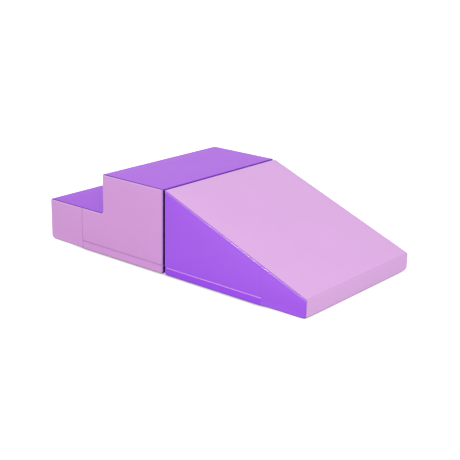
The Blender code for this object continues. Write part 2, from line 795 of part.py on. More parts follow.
def main():
    clear_scene()
    parts = new_collection("foam climbing set")
    cutters = Cutters(new_collection("cutters"))
    finishes = {
        "purple cover": material("purple cover", PURPLE, 0.5),
        "lilac cover": material("lilac cover", LILAC, 0.5),
        "pink lilac cover": material("pink lilac cover", PINK_LILAC, 0.5),
        "base cover": material("base cover", BASE_GREY, 0.8),
        "back cover": material("back cover", BACK_VIOLET, 0.5),
        "foam": material("foam", FOAM, 0.9),
        "zip tape": material("zip tape", LILAC, 0.8),
        "purple strip": material("purple strip", STRIP_PURPLE, 0.9),
        "zip metal": material("zip metal", METAL, 0.35, 1.0),
    }
    build_step_block(parts, cutters, finishes)
    build_ramp_block(parts, cutters, finishes)


main()
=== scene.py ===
# %% [markdown]
# # Foam climbing set
# Two soft-play blocks stand end to end: a block of two steps and a long, low ramp. Each one is
# foam in a sewn cover of vinyl leathercloth, and a hidden zip runs round the foot of the cover.
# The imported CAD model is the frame: every piece made here lies where its CAD solid lies.

import json
from math import ceil, copysign, cos, exp, pi, radians, sin, tan

import bmesh
import bpy
from mathutils import Matrix, Vector, kdtree, noise

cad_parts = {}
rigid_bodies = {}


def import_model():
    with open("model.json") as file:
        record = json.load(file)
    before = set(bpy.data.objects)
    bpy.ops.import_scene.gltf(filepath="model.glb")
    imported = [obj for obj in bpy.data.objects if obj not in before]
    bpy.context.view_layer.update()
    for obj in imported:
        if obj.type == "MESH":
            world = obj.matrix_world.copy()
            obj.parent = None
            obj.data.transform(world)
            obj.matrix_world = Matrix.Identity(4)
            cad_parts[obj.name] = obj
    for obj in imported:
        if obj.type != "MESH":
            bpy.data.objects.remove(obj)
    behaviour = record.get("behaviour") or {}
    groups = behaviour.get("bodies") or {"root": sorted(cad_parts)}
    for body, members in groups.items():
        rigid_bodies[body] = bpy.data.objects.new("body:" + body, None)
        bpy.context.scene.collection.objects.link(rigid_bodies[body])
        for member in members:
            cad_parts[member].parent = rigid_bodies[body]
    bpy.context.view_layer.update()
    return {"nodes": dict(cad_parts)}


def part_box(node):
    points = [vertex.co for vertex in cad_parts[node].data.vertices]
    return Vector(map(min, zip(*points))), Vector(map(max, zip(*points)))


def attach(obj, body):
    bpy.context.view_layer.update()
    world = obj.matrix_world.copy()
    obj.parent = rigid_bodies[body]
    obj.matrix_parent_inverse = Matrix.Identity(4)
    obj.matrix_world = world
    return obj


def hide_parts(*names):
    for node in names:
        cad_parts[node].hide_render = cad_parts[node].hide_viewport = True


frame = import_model()

# %% [markdown]
# ## The two blocks in numbers
# A block is drawn in its own frame, with its back face on x = 0 and its toe or nose towards +x.
# Its outline is a short list of corners in x-z with the radius of each. The step block is then
# turned half round, so that the two backs face each other with the joining strips between them.
# The sizes are those of the CAD source, so the new cover fits the frame with nothing to adjust.
# Only the ramp's ridge is rounded less than in the frame, because the photograph shows it crisp.
# Two places that are nearer than SAME count as one.

# %% Sizes and outlines
MM = 0.001
WIDTH = 615 * MM
HEIGHT = 305 * MM
SIDE_RADIUS = 4 * MM
COVER = 1.2 * MM
FIT = 0.3 * MM
ZIP_SLIT = 3.2 * MM
SAME = 0.01 * MM


class Block:
    """One foam block: outline, panels, zip and place in the set."""

    def __init__(
        self, name, corners_mm, bands, crowned, front, seam_mm, upright_mm, zip_mm, back_mm, turned, seed
    ):
        self.name = name
        self.corners = [tuple(value * MM for value in corner) for corner in corners_mm]
        self.bands = bands
        self.crowned = crowned
        self.front = front
        self.seam = seam_mm * MM
        self.upright = upright_mm * MM
        self.zip = zip_mm * MM
        self.near = 1 if turned else -1
        self.seed = Vector((0.0, 0.0, seed))
        self.body = f"{name}_block"
        turn = Matrix.Rotation(pi if turned else 0.0, 4, "Z")
        self.place = Matrix.Translation((back_mm * MM, 0.0, 0.0)) @ turn

    def run(self, index):
        """Start, end, direction and inward normal of one straight of the outline."""
        start = Vector(self.corners[index][:2])
        end = Vector(self.corners[(index + 1) % len(self.corners)][:2])
        along = (end - start).normalized()
        return start, end, along, Vector((-along.y, along.x))


print("one block, mm:", round(WIDTH / MM), "wide,", round(HEIGHT / MM), "high")

# %% The step block and the ramp block
STEP = Block(
    "step",
    [(0, 0, 10), (582, 0, 13), (582, 158.5, 5), (297, 158.5, 10), (297, 305, 5), (0, 305, 4.5)],
    bands=["base_panel", "riser_lower", "tread_lower", "riser_upper", "tread_upper", "back"],
    crowned=(1, 2, 3, 4),
    front="toe",
    seam_mm=406.5,
    upright_mm=0.4,
    zip_mm=31,
    back_mm=-14.35,
    turned=True,
    seed=7,
)
RAMP = Block(
    "ramp",
    [(0, 0, 10), (602, 0, 12), (602, 68, 9), (0, 305, 2)],
    bands=["base_panel", "slope_panel", "slope_panel", "back"],
    crowned=(2,),
    front="nose",
    seam_mm=424,
    upright_mm=0.1,
    zip_mm=27.5,
    back_mm=-5.65,
    turned=False,
    seed=0,
)
for block in (STEP, RAMP):
    low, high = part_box(f"{block.name}_base_panel")
    print(block.name, "base panel in the frame, mm:", [round(v * 1000, 1) for v in (*low, *high)])

# %% [markdown]
# ## Colours and nodes
# Colours are written as sRGB hex, as a picture editor shows them. The shader works in linear
# light, so one function turns them over. One more small function adds a node, with its settings
# and links in a single call, and it serves material trees and geometry trees alike.

# %% Helpers for colours and nodes
def linear(code):
    """sRGB hex to linear RGBA."""
    channels = [int(code[index : index + 2], 16) / 255 for index in (1, 3, 5)]
    return [c / 12.92 if c <= 0.04045 else ((c + 0.055) / 1.055) ** 2.4 for c in channels] + [1.0]


def add_node(tree, kind, inputs=None, **settings):
    """Adds a node. A value in inputs is set on the socket, and a socket is linked to it."""
    made = tree.nodes.new(kind)
    for key, value in settings.items():
        setattr(made, key, value)
    for key, value in (inputs or {}).items():
        if isinstance(value, bpy.types.NodeSocket):
            tree.links.new(value, made.inputs[key])
        else:
            made.inputs[key].default_value = value
    return made


def new_material(name, **shader_values):
    """A material with its Principled shader, and that shader's own values set."""
    made = bpy.data.materials.new(name)
    made.use_nodes = True
    shader = made.node_tree.nodes["Principled BSDF"]
    for key, value in shader_values.items():
        shader.inputs[key.replace("_", " ")].default_value = value
    return made, made.node_tree, shader


WHITE = linear("#FFFFFF")
BLACK = linear("#000000")
print("white in linear light:", [round(value, 3) for value in WHITE])

# %% [markdown]
# ## Vinyl leathercloth
# The cover is vinyl on a knitted backing. Its skin is pressed with a fine pebble grain and has a
# satin shine, so pale surroundings show on it as a soft veil and never as a sharp reflection.
# A picture of real leathercloth could be laid on as a texture, but it would have to be unwrapped
# and would repeat. The grain is a Voronoi pattern instead, which keeps its true size on every
# panel: domes 1.3 mm apart and a tenth of a millimetre deep.
# Three values on the mesh, in millimetres, tell the material where the seams are. "from_seam" is
# the way to the nearest stitched seam, where the valley's colour is darkened, mostly as painted
# shade and a little as dust. "from_top" is the way to the nearest seam along a top edge, where the
# skin of a side panel is stretched over the turned-in cloth and its colour is paled as a painted
# highlight. "from_back" is the way to the seam beside the other block, where on some panels the
# colour is darker as painted shade in the joint, and on others paler as a painted highlight.
# The ridge, where a block's top meets its back, counts for both. The slope's panel is one piece
# with the nose's front, and where it turns over the nose its colour is darkened as painted shade.

# %% Grain and tones
GRAIN = 1.3 * MM
GRAIN_DEPTH = 0.10 * MM
GRAIN_STRENGTH = 0.7
STITCH_PITCH = 3.5 * MM
ROUGH = 0.5
STRETCHED_ROUGH = 0.6 * ROUGH
# Waves to a metre: of the wandering grain, and of the cloudy tone
GRAIN_WAVES = 260.0
CLOUD_WAVES = 5.0
CLOUDINESS = 0.015
# From and to, in millimetres as on the mesh: the painted shade and highlight beside a seam, and the
# needle's puckers
VALLEY_FROM = 0.2
REAR_FROM = 1.0
ROLL_FROM, ROLL_TO = 1.5, 6.0
PUCKERED_FROM, PUCKERED_TO = 0.5, 9.0
PUCKER_STRENGTH = 2.2
# How far the cloth faces forward, from none to one, where the painted shade of the bend over the nose
# begins and ends
BEND_BEGINS = (0.38, 0.75)
BEND_ENDS = (0.82, 1.0)


def within(tree, value, near, far):
    """One where a value on the mesh is below near, none past far, and smooth between."""
    measured = add_node(tree, "ShaderNodeAttribute", attribute_name=value).outputs["Fac"]
    return add_node(
        tree, "ShaderNodeMapRange", {"Value": measured, 1: near, 2: far, 3: 1.0, 4: 0.0},
        interpolation_type="SMOOTHSTEP",
    ).outputs[0]


def turning(tree):
    """One where the cloth turns over from the slope to the nose's front, none on either face."""
    facing = add_node(tree, "ShaderNodeNewGeometry").outputs["Normal"]
    forward = add_node(tree, "ShaderNodeSeparateXYZ", {0: facing}).outputs["X"]
    begun = add_node(
        tree, "ShaderNodeMapRange", {"Value": forward, 1: BEND_BEGINS[0], 2: BEND_BEGINS[1]},
        interpolation_type="SMOOTHSTEP",
    ).outputs[0]
    left = add_node(
        tree, "ShaderNodeMapRange", {"Value": forward, 1: BEND_ENDS[0], 2: BEND_ENDS[1], 3: 1.0, 4: 0.0},
        interpolation_type="SMOOTHSTEP",
    ).outputs[0]
    return add_node(tree, "ShaderNodeMath", {0: begun, 1: left}, operation="MULTIPLY").outputs[0]


def cloudy(tree, place):
    """A slow drift of the tone, a little above and below one."""
    drift = add_node(
        tree, "ShaderNodeTexNoise", {"Vector": place, "Scale": CLOUD_WAVES, "Detail": 3.0, "Roughness": 0.6}
    ).outputs["Fac"]
    return add_node(
        tree, "ShaderNodeMapRange", {"Value": drift, 1: 0.3, 2: 0.7, 3: 1 - CLOUDINESS, 4: 1 + CLOUDINESS}
    ).outputs[0]


print("grain spacing, mm:", GRAIN / MM)

# %% Grain as a height
def pebbled(tree, place):
    """Domes of grain, with puckers beside the seams where the needle draws the cloth in."""
    wander = add_node(
        tree, "ShaderNodeTexNoise", {"Vector": place, "Scale": GRAIN_WAVES, "Detail": 2.0}
    ).outputs["Color"]
    offset = add_node(
        tree, "ShaderNodeVectorMath", {0: wander, "Scale": GRAIN}, operation="SCALE"
    ).outputs[0]
    warped = add_node(tree, "ShaderNodeVectorMath", {0: place, 1: offset}, operation="ADD").outputs[0]
    pebbles = add_node(
        tree, "ShaderNodeTexVoronoi", {"Vector": warped, "Scale": 1 / GRAIN}, feature="F1"
    ).outputs["Distance"]
    domes = add_node(tree, "ShaderNodeMath", {0: 1.0, 1: pebbles}, operation="SUBTRACT").outputs[0]
    drawn = add_node(
        tree, "ShaderNodeTexNoise", {"Vector": place, "Scale": 1 / STITCH_PITCH}
    ).outputs["Fac"]
    from_seam = add_node(tree, "ShaderNodeAttribute", attribute_name="from_seam").outputs["Fac"]
    beside = add_node(
        tree, "ShaderNodeMapRange",
        {"Value": from_seam, 1: PUCKERED_FROM, 2: PUCKERED_TO, 3: PUCKER_STRENGTH, 4: 0.0},
    ).outputs[0]
    puckers = add_node(tree, "ShaderNodeMath", {0: drawn, 1: beside}, operation="MULTIPLY").outputs[0]
    return add_node(tree, "ShaderNodeMath", {0: domes, 1: puckers}, operation="ADD").outputs[0]


print("stitch pitch, mm:", STITCH_PITCH / MM)

# %% Leathercloth
def leathercloth(
    name, skin, valley, roll_highlight=None, rear=None, bend=None, valley_reach=1.6, rear_reach=6.0, shine=0.5
):
    """Pebble-grained vinyl: the skin's colour, with painted shade and highlight in seam valleys, along the
    top rim, at the rear edge and over the nose's bend.
    """
    made, tree, shader = new_material(name, IOR=1.5)
    place = add_node(tree, "ShaderNodeTexCoord").outputs["Object"]
    in_valley = within(tree, "from_seam", VALLEY_FROM, valley_reach)
    on_roll = within(tree, "from_top", ROLL_FROM, ROLL_TO)
    at_rear = within(tree, "from_back", REAR_FROM, rear_reach)
    on_bend = turning(tree) if bend else None
    toned = linear(skin)
    # These tones are painted light: shade in the valleys, over the nose's bend and at some rear edges, and
    # a highlight along the top rim and at other rear edges
    for share, colour in ((on_bend, bend), (on_roll, roll_highlight), (in_valley, valley), (at_rear, rear)):
        if colour is None:
            continue
        tones = {"Factor": share, 6: toned, 7: linear(colour)}
        toned = add_node(tree, "ShaderNodeMix", tones, data_type="RGBA").outputs[2]
    drifting = {"Color": toned, "Value": cloudy(tree, place)}
    tree.links.new(
        add_node(tree, "ShaderNodeHueSaturation", drifting).outputs[0], shader.inputs["Base Color"]
    )
    # stretched skin is smoother, and takes a highlight
    rough = add_node(
        tree, "ShaderNodeMapRange", {"Value": on_roll, 3: ROUGH, 4: STRETCHED_ROUGH}
    ).outputs[0]
    tree.links.new(rough, shader.inputs["Roughness"])
    # no light gets down into a valley to shine there
    dull = add_node(tree, "ShaderNodeMapRange", {"Value": in_valley, 3: shine, 4: 0.0}).outputs[0]
    tree.links.new(dull, shader.inputs["Specular IOR Level"])
    grain = {"Height": pebbled(tree, place), "Distance": GRAIN_DEPTH, "Strength": GRAIN_STRENGTH}
    tree.links.new(add_node(tree, "ShaderNodeBump", grain).outputs[0], shader.inputs["Normal"])
    return made


print("roughness:", ROUGH, "and where it is stretched:", STRETCHED_ROUGH)

# %% Colours of the cloth
# In the calls below, the tones of the rim, the rear edge, the valleys and the bend are painted highlight
# and painted shade
# The ramp's sides and the step's treads are cut from two rolls of purple, one a little pinker
SIDE_PURPLE = leathercloth(
    "purple vinyl leathercloth", "#A44FEB", "#7A3AD2", roll_highlight="#B876E8", rear="#C884F8",
    valley_reach=1.3, rear_reach=5,
)
# The hem's colour is deeper than the side's above it: painted shade near the floor
HEM_PURPLE = leathercloth("purple vinyl leathercloth of the hem", "#9C3CEC", "#6E2EC8")
TREAD_PURPLE = leathercloth(
    "pinkish purple vinyl leathercloth", "#B15CE8", "#3C0C80", rear="#A650E2", valley_reach=5
)
# The lower tread's colour is a little darker, as painted shade from the riser above it, and it has less
# shine
LOWER_TREAD_PURPLE = leathercloth(
    "worn purple vinyl leathercloth", "#AD56E8", "#3C0C80", valley_reach=5, shine=0.36
)
RISER_PURPLE = leathercloth(
    "purple vinyl leathercloth of the risers", "#B15CE8", "#6426A8", valley_reach=2.5
)
SLOPE_LILAC = leathercloth(
    "lilac vinyl leathercloth", "#DFABE5", "#A263C8", rear="#F0C4F6", bend="#D6A4DC",
    valley_reach=4.2, rear_reach=5,
)
SIDE_PINK = leathercloth(
    "pink lilac vinyl leathercloth", "#D89CDC", "#A564B0", roll_highlight="#E4B3E7", rear="#C48CC8",
    valley_reach=1.3, rear_reach=9,
)
# The backs' very dark violet is painted shade of the narrow joint between the blocks, and their paler rim
# and rear tones are painted light from above there
BACK_SHADE_VIOLET = leathercloth(
    "violet vinyl leathercloth", "#2C0662", "#5A1CA8", roll_highlight="#7A30CC", rear="#7434BC",
    rear_reach=5, shine=0.1,
)
print("materials so far:", len(bpy.data.materials))

# %% [markdown]
# ## Non-slip base cloth
# Underneath is a dark woven polyester with rows of small rubber dots, so that the block stays
# where it is put. The dots could be modelled one by one, but they are 0.3 mm high and lie face
# down, so bump is enough: a Voronoi pattern with its randomness at zero gives a square grid.

# %% Base cloth
DOT_PITCH = 9 * MM
# In shares of the pitch, where a dot is flat on top and where it ends
DOT_RADIUS = (0.16, 0.2)
WEAVE_PITCH = 0.8 * MM
WEAVE_DEPTH = 0.1 * MM
# How many times deeper than the weave a dot stands out
DOT_HIGH = 3.0


def base_cloth():
    """Dark woven polyester, dull, with darker rubber dots."""
    made, tree, shader = new_material("dotted non-slip polyester", Roughness=0.85)
    place = add_node(tree, "ShaderNodeTexCoord").outputs["Object"]
    cell = {"Vector": place, "Scale": 1 / DOT_PITCH, "Randomness": 0.0}
    dots = add_node(tree, "ShaderNodeTexVoronoi", cell, voronoi_dimensions="2D").outputs["Distance"]
    dot = add_node(
        tree, "ShaderNodeMapRange", {"Value": dots, 1: DOT_RADIUS[0], 2: DOT_RADIUS[1], 3: 1.0, 4: 0.0}
    ).outputs[0]
    threads = add_node(
        tree, "ShaderNodeTexChecker", {"Vector": place, "Scale": 1 / WEAVE_PITCH}
    ).outputs["Fac"]
    tint = {"Factor": dot, 6: linear("#5A5560"), 7: linear("#3B3740")}
    colour = add_node(tree, "ShaderNodeMix", tint, data_type="RGBA").outputs[2]
    tree.links.new(colour, shader.inputs["Base Color"])
    height = add_node(
        tree, "ShaderNodeMath", {0: dot, 1: DOT_HIGH, 2: threads}, operation="MULTIPLY_ADD"
    ).outputs[0]
    bump = add_node(tree, "ShaderNodeBump", {"Height": height, "Distance": WEAVE_DEPTH, "Strength": 0.8})
    tree.links.new(bump.outputs[0], shader.inputs["Normal"])
    return made


BASE_CLOTH = base_cloth()
print("dots per square decimetre:", round((0.1 / DOT_PITCH) ** 2))

# %% [markdown]
# ## The form under the cover
# A block's cover is one closed skin before it is parted into panels. It could be a box with a
# bevel, but then nothing would say where a seam runs. Here it is lofted instead: the rounded
# outline is laid down again and again from one side to the other, smaller towards the two side
# faces so that the rim rounds over. The seam between a side panel and the band round the block
# lies on the ring where that rounding stands at 45 degrees, and the seam between two band
# panels lies on the middle of a corner's arc, so every seam has a row of vertices of its own.
# Rows stand close together beside the seams, where the cloth rolls in, and wide apart between.

# %% Outlines and rows
ARC_STEPS = 8
RIM_STEPS = 8
LEAST_RADIUS = 0.5 * MM
GRID = 12 * MM
NEAR_SEAM = [gap * MM for gap in (0.7, 1.5, 2.6, 4, 6, 9, 13, 19)]


def spread_along(length):
    """Shares of a straight: close together at its two ends, even between."""
    ends = [gap for gap in NEAR_SEAM if gap < length / 2]
    plain = length - 2 * NEAR_SEAM[-1]
    count = max(ceil(plain / GRID), 1)
    between = [NEAR_SEAM[-1] + plain * step / count for step in range(1, count)]
    return [place / length for place in sorted(ends + between + [length - gap for gap in ends])]


def rounded_outline(block, inset, splits=None):
    """Outline moved inwards by inset, and for each point the straight that its next step is on."""
    arcs = []
    for index, (x, z, radius) in enumerate(block.corners):
        run_in, normal_in = block.run(index - 1)[2:]
        run_out, normal_out = block.run(index)[2:]
        moved = Vector((x, z)) + (normal_in + normal_out) * inset / (1 + normal_in.dot(normal_out))
        side = 1 if run_in.cross(run_out) > 0 else -1
        bend = max(radius - side * inset, LEAST_RADIUS)
        turn = run_in.angle(run_out)
        start = moved - run_in * bend * tan(turn / 2)
        centre = start + normal_in * bend * side
        swings = [Matrix.Rotation(side * turn * step / ARC_STEPS, 2) for step in range(ARC_STEPS + 1)]
        arcs.append([centre + swing @ (start - centre) for swing in swings])
    if splits is None:
        lengths = [(arcs[(i + 1) % len(arcs)][0] - arc[-1]).length for i, arc in enumerate(arcs)]
        splits = [spread_along(length) for length in lengths]
    points, owners = [], []
    for index, arc in enumerate(arcs):
        after = arcs[(index + 1) % len(arcs)][0]
        points += arc + [arc[-1].lerp(after, share) for share in splits[index]]
        owners += [(index - 1) % len(arcs)] * (ARC_STEPS // 2)
        owners += [index] * (ARC_STEPS // 2 + 1 + len(splits[index]))
    return points, owners, splits


print("steps of a rounded corner:", ARC_STEPS)

# %% Rows from side to side
def skin_rows():
    """From side to side: y of each row, its inset, and the two rows that the side seams lie on."""
    half = WIDTH / 2
    rim = [(-half, SIDE_RADIUS + gap) for gap in reversed(NEAR_SEAM)]
    for step in range(RIM_STEPS + 1):
        angle = pi / 2 * step / RIM_STEPS
        rim.append((-half + SIDE_RADIUS * (1 - cos(angle)), SIDE_RADIUS * (1 - sin(angle))))
    seam_row = len(NEAR_SEAM) + RIM_STEPS // 2
    plain = WIDTH - 2 * SIDE_RADIUS
    across = [(-half + SIDE_RADIUS + plain * share, 0.0) for share in spread_along(plain)]
    rows = rim + across + [(-y, inset) for y, inset in reversed(rim)]
    return rows, seam_row, len(rows) - 1 - seam_row


print("rows from side to side:", len(skin_rows()[0]))

# %% [markdown]
# The loft marks every face with two numbers, the straight of the outline that it belongs to and
# whether it is part of a side. The flat middle of each side starts as a single face, and is
# sliced along a grid. More slices are added beside the upright seam and along the zip's slit.

# %% Slices
CUT_SNAP = 0.001 * MM


def slice_skin(work, chosen, places, axis):
    """Cuts the chosen faces by planes square to an axis."""
    normal = Vector([1.0 if index == axis else 0.0 for index in range(3)])
    for place in places:
        faces = [face for face in work.faces if chosen(face)]
        edges = {edge for face in faces for edge in face.edges}
        verts = {vert for face in faces for vert in face.verts}
        geometry = [*verts, *edges, *faces]
        bmesh.ops.bisect_plane(work, geom=geometry, dist=CUT_SNAP, plane_co=normal * place, plane_no=normal)


def even_places(low, high):
    """Places from low to high that are no more than a grid's step apart."""
    count = ceil((high - low) / GRID)
    return [low + (high - low) * step / count for step in range(count + 1)]


print("slices of a side, high:", len(even_places(0.0, HEIGHT)))

# %% Loft the skin
def loft_skin(block):
    """The whole skin of a block, and the two marks on its faces: straight of the outline, and side."""
    rows, first_seam, last_seam = skin_rows()
    work = bmesh.new()
    straight = work.faces.layers.int.new("straight")
    is_side = work.faces.layers.int.new("is_side")
    splits = rounded_outline(block, 0.0)[2]
    rings = []
    for y, inset in rows:
        points, owners, _ = rounded_outline(block, inset, splits)
        rings.append([work.verts.new((point.x, y, point.y)) for point in points])
    count = len(rings[0])
    for row, (low, high) in enumerate(zip(rings, rings[1:])):
        for index in range(count):
            after = (index + 1) % count
            face = work.faces.new((low[index], low[after], high[after], high[index]))
            face[straight] = owners[index]
            face[is_side] = int(row < first_seam or row >= last_seam)
    for ring in (rings[0][::-1], rings[-1]):
        face = work.faces.new(ring)
        face[straight] = -1
        face[is_side] = 1
    bmesh.ops.recalc_face_normals(work, faces=work.faces)
    reach = max(corner[0] for corner in block.corners)
    slice_skin(work, lambda face: face[straight] < 0, even_places(0.0, reach), 0)
    slice_skin(work, lambda face: face[straight] < 0, even_places(0.0, HEIGHT), 2)
    gaps = [0.0] + NEAR_SEAM[:-1]
    beside = sorted({block.seam + gap * way for gap in gaps for way in (-1, 1)})
    slice_skin(work, lambda face: face[is_side] == 1, beside, 0)
    back = len(block.corners) - 1
    slit = ZIP_SLIT / 2
    heights = [block.zip + slit + gap for gap in gaps] + [block.zip - slit - gap for gap in gaps[:-1]]
    slice_skin(work, lambda face: face[is_side] == 1 or face[straight] == back, heights, 2)
    work.normal_update()
    work.verts.index_update()
    return work, straight, is_side


skins = {block.name: loft_skin(block) for block in (STEP, RAMP)}
print("faces of the skins:", {name: len(skin[0].faces) for name, skin in skins.items()})

# %% [markdown]
# ## What the cloth does
# The foam fills the cover and stands out between its seams, so each face has a low crown.
# The seams draw the cloth in: the panel's edge turns down into a valley, nearly a millimetre deep
# on an edge of the block and a third of that round its back, and beside it lies a low welt, which
# is the seam allowance that is folded behind the cloth. Along the zip the cloth only rounds over a
# turned-in hem. Small puckers run from the seams and fade within a few centimetres. Each of
# these is a short formula of the way to the nearest seam of each kind, found with KD trees.
# At a block's free end the foot curls up off the floor: about two millimetres along the sides
# and five in the corners. The foam is trimmed to the same curl, so that it stays inside the cover.
# A cloth simulation could find all this by itself, but on so full a cover it would only give back
# the form of the foam, without the needle's work.

# %% Crown, valley, welt and puckers
# Each height has the way over which it rises or fades. The first crown is the frame's own, and
# the fuller one is added to it.
CROWN = 1.6 * MM
CROWN_REACH = 55 * MM
FULLER = 0.9 * MM
FULLER_REACH = 130 * MM
VALLEY_REACH = {"corner": 1.3 * MM, "rear": 1.0 * MM, "upright": 1.0 * MM, "slit": 0.9 * MM}
CORNER_VALLEY = 0.85 * MM
REAR_VALLEY = 0.3 * MM
SLIT_VALLEY = 0.45 * MM
# An upright seam that is flatter than this draws no welt and no puckers
DEEP_ENOUGH = 0.3 * MM
WELT = 0.35 * MM
WELT_PLACE = 5.0 * MM
WELT_REACH = 3.5 * MM
PUCKER = 0.34 * MM
PUCKER_PITCH = 17 * MM
PUCKER_REACH = 24 * MM
WAVE = 0.30 * MM
WAVE_PITCH = 95 * MM
FAR_AWAY = 60 * MM
# The foot's curl, more of it in the corners, and the way over which it begins past the seam
CURL = 2.3 * MM
CORNER_CURL = 3.0 * MM
CURL_RISE = 14 * MM
CURL_REACH = 16 * MM
print("crown in the middle of a face, mm:", round((CROWN + FULLER) / MM, 2))

# %% Curl and crown
def curl(block, place):
    """Rise of the foot off the floor at a block's free end: along its sides, most in its corners."""
    beyond = place.x - block.seam
    if beyond <= 0:
        return 0.0
    start = min(beyond / CURL_RISE, 1.0)
    to_side = max(WIDTH / 2 - abs(place.y), 0.0)
    to_front = max(block.corners[1][0] - place.x, 0.0)
    rim = CURL * start * exp(-to_side / CURL_REACH)
    return (rim + CORNER_CURL * exp(-(to_side + to_front) / CURL_REACH)) * exp(-place.z / CURL_REACH)


def swell(depth, reach):
    """None at a face's edge, one past the reach, and steepest at the edge."""
    share = min(max(depth / reach, 0.0), 1.0)
    return 1 - (1 - share) ** 2


def depth_in_face(block, place):
    """How deep a point lies in a crowned face, or None where the cloth stays flat."""
    flat = Vector((place.x, place.z))
    side_depth = WIDTH / 2 - abs(place.y)
    if side_depth < SAME:
        above_zip = place.z - block.zip - ZIP_SLIT / 2
        gaps = []
        for index in range(len(block.corners)):
            start, end, along, _ = block.run(index)
            share = min(max((flat - start).dot(along), 0.0), (end - start).length)
            gaps.append((flat - start - along * share).length)
        return min(min(gaps) - SIDE_RADIUS, above_zip)
    for index in block.crowned:
        start, end, along, normal = block.run(index)
        if abs((flat - start).dot(normal)) < SAME:
            gone = (flat - start).dot(along)
            left = (end - start).length - gone
            first = block.corners[index][2]
            last = block.corners[(index + 1) % len(block.corners)][2]
            return min(gone - first, left - last, side_depth - SIDE_RADIUS)
    return None


corner = Vector((RAMP.corners[1][0], WIDTH / 2, 0.0))
print("rise of a free corner of the foot, mm:", round(curl(RAMP, corner) / MM, 1))

# %% Shift of the cloth
def stitched_gap(block, gaps):
    """The way to the nearest seam that draws the cloth in; an upright seam may be too flat for it."""
    upright = gaps["upright"] if block.upright > DEEP_ENOUGH else FAR_AWAY
    return min(gaps["corner"], gaps["rear"], upright)


def cloth_shift(block, place, gaps):
    """Height of the skin over the plain rounded form, and height of the CAD crown."""
    depth = depth_in_face(block, place)
    nearest = min(gaps.values())
    stitched = stitched_gap(block, gaps)
    crown = shift = 0.0
    if depth is not None:
        crown = CROWN * swell(depth, CROWN_REACH)
        wave = WAVE * noise.noise(place / WAVE_PITCH + block.seed)
        shift = crown + FULLER * swell(depth, FULLER_REACH) + wave * (1 - exp(-nearest / PUCKER_REACH))
    fade = 1 - exp(-((nearest / (2 * VALLEY_REACH["corner"])) ** 2))
    shift += fade * WELT * exp(-(((stitched - WELT_PLACE) / WELT_REACH) ** 2))
    shift += fade * PUCKER * noise.noise(place / PUCKER_PITCH + block.seed) * exp(-stitched / PUCKER_REACH)
    deep = {"corner": CORNER_VALLEY, "rear": REAR_VALLEY, "upright": block.upright, "slit": SLIT_VALLEY}
    for kind, gap in gaps.items():
        shift -= deep[kind] * exp(-((gap / VALLEY_REACH[kind]) ** 2))
    return shift, crown


on_seam = {**dict.fromkeys(VALLEY_REACH, FAR_AWAY), "corner": 0.0}
lowest = cloth_shift(RAMP, Vector((0.2, -WIDTH / 2, SIDE_RADIUS)), on_seam)[0]
print("height of the cloth in a seam's valley, mm:", round(lowest / MM, 2))

# %% [markdown]
# ## Sew the panels
# Each panel becomes a closed shell of its own: the shaped skin outside, the flat backing 1.2 mm
# inside it, and a narrow wall along the border. A Solidify modifier would do this too, but it
# pushes a border along the panel's own slope, and two panels would then run through each other
# at a mitre. Here both walls follow the direction of the whole form, so panels meet edge to edge.

# %% Borders
KINDS = ("top", "ridge", "front", "back", "foot", "upright", "slit")
# Sizes of a normal's parts: square to a face, level, and leaning back at the ridge
SQUARE = 0.99
LEVEL = 0.2
BACKWARDS = -0.3


def border_of(loops):
    """The edges that only one face has, as pairs of vertex numbers."""
    directed = {(a, b) for loop in loops for a, b in zip(loop, loop[1:] + loop[:1])}
    return [(a, b) for a, b in directed if (b, a) not in directed]


def kind_of_border(block, middle, normal):
    """What a stretch of border is: one of the block's edges, an upright seam, or beside the zip."""
    if max(abs(normal.x), abs(normal.y)) > SQUARE:
        return "upright" if abs(middle.x - block.seam) < SAME else "slit"
    if abs(normal.z) < LEVEL:
        return "front" if normal.x > 0 else "back"
    if normal.z < 0:
        return "foot"
    return "ridge" if normal.x < BACKWARDS else "top"


def seam_trees(block, points, normals, border):
    """A KD tree of points a millimetre apart for each kind of border that the panel has."""
    samples = {}
    for a, b in border:
        kind = kind_of_border(block, (points[a] + points[b]) / 2, (normals[a] + normals[b]) / 2)
        count = max(ceil((points[b] - points[a]).length / MM), 1)
        places = [points[a].lerp(points[b], step / count) for step in range(count)]
        samples.setdefault(kind, []).extend(places)
    trees = {}
    for kind, places in samples.items():
        trees[kind] = kdtree.KDTree(len(places))
        for index, place in enumerate(places):
            trees[kind].insert(place, index)
        trees[kind].balance()
    return trees


def drawn_back(points, normals, loops, border):
    """For each border vertex, the way into the panel, so that its edge can stand clear of the next."""
    ways = {a: Vector() for a, _ in border}
    for loop in loops:
        centre = sum((points[index] for index in loop), Vector()) / len(loop)
        for index in loop:
            if index in ways:
                ways[index] += centre - points[index]
    tangents = {index: Vector() for index in ways}
    for a, b in border:
        step = (points[b] - points[a]).normalized()
        tangents[a] += step
        tangents[b] += step
    for index, way in ways.items():
        for along in (normals[index], tangents[index].normalized()):
            way -= along * way.dot(along)
        way.normalize()
    return ways


on_ridge = kind_of_border(RAMP, Vector((0.0, 0.0, HEIGHT)), Vector((-0.6, 0.0, 0.8)))
print("the border along the ramp's top is of the kind:", on_ridge)

# %% Finished pieces
def smoothed(mesh, sharp_from):
    """Smooth shading, but for edges that turn by more than that many degrees."""
    mesh.shade_smooth()
    mesh.set_sharp_from_angle(angle=radians(sharp_from))
    return mesh


def mesh_of(work, name):
    """Turns a bmesh into a mesh, and frees it."""
    mesh = bpy.data.meshes.new(name)
    work.to_mesh(mesh)
    work.free()
    return mesh


def finished(name, mesh, body, slot, *materials):
    """Puts a mesh in the scene as a piece of that body."""
    for material in materials:
        mesh.materials.append(material)
    made = bpy.data.objects.new(name, mesh)
    bpy.context.scene.collection.objects.link(made)
    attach(made, body)
    return made


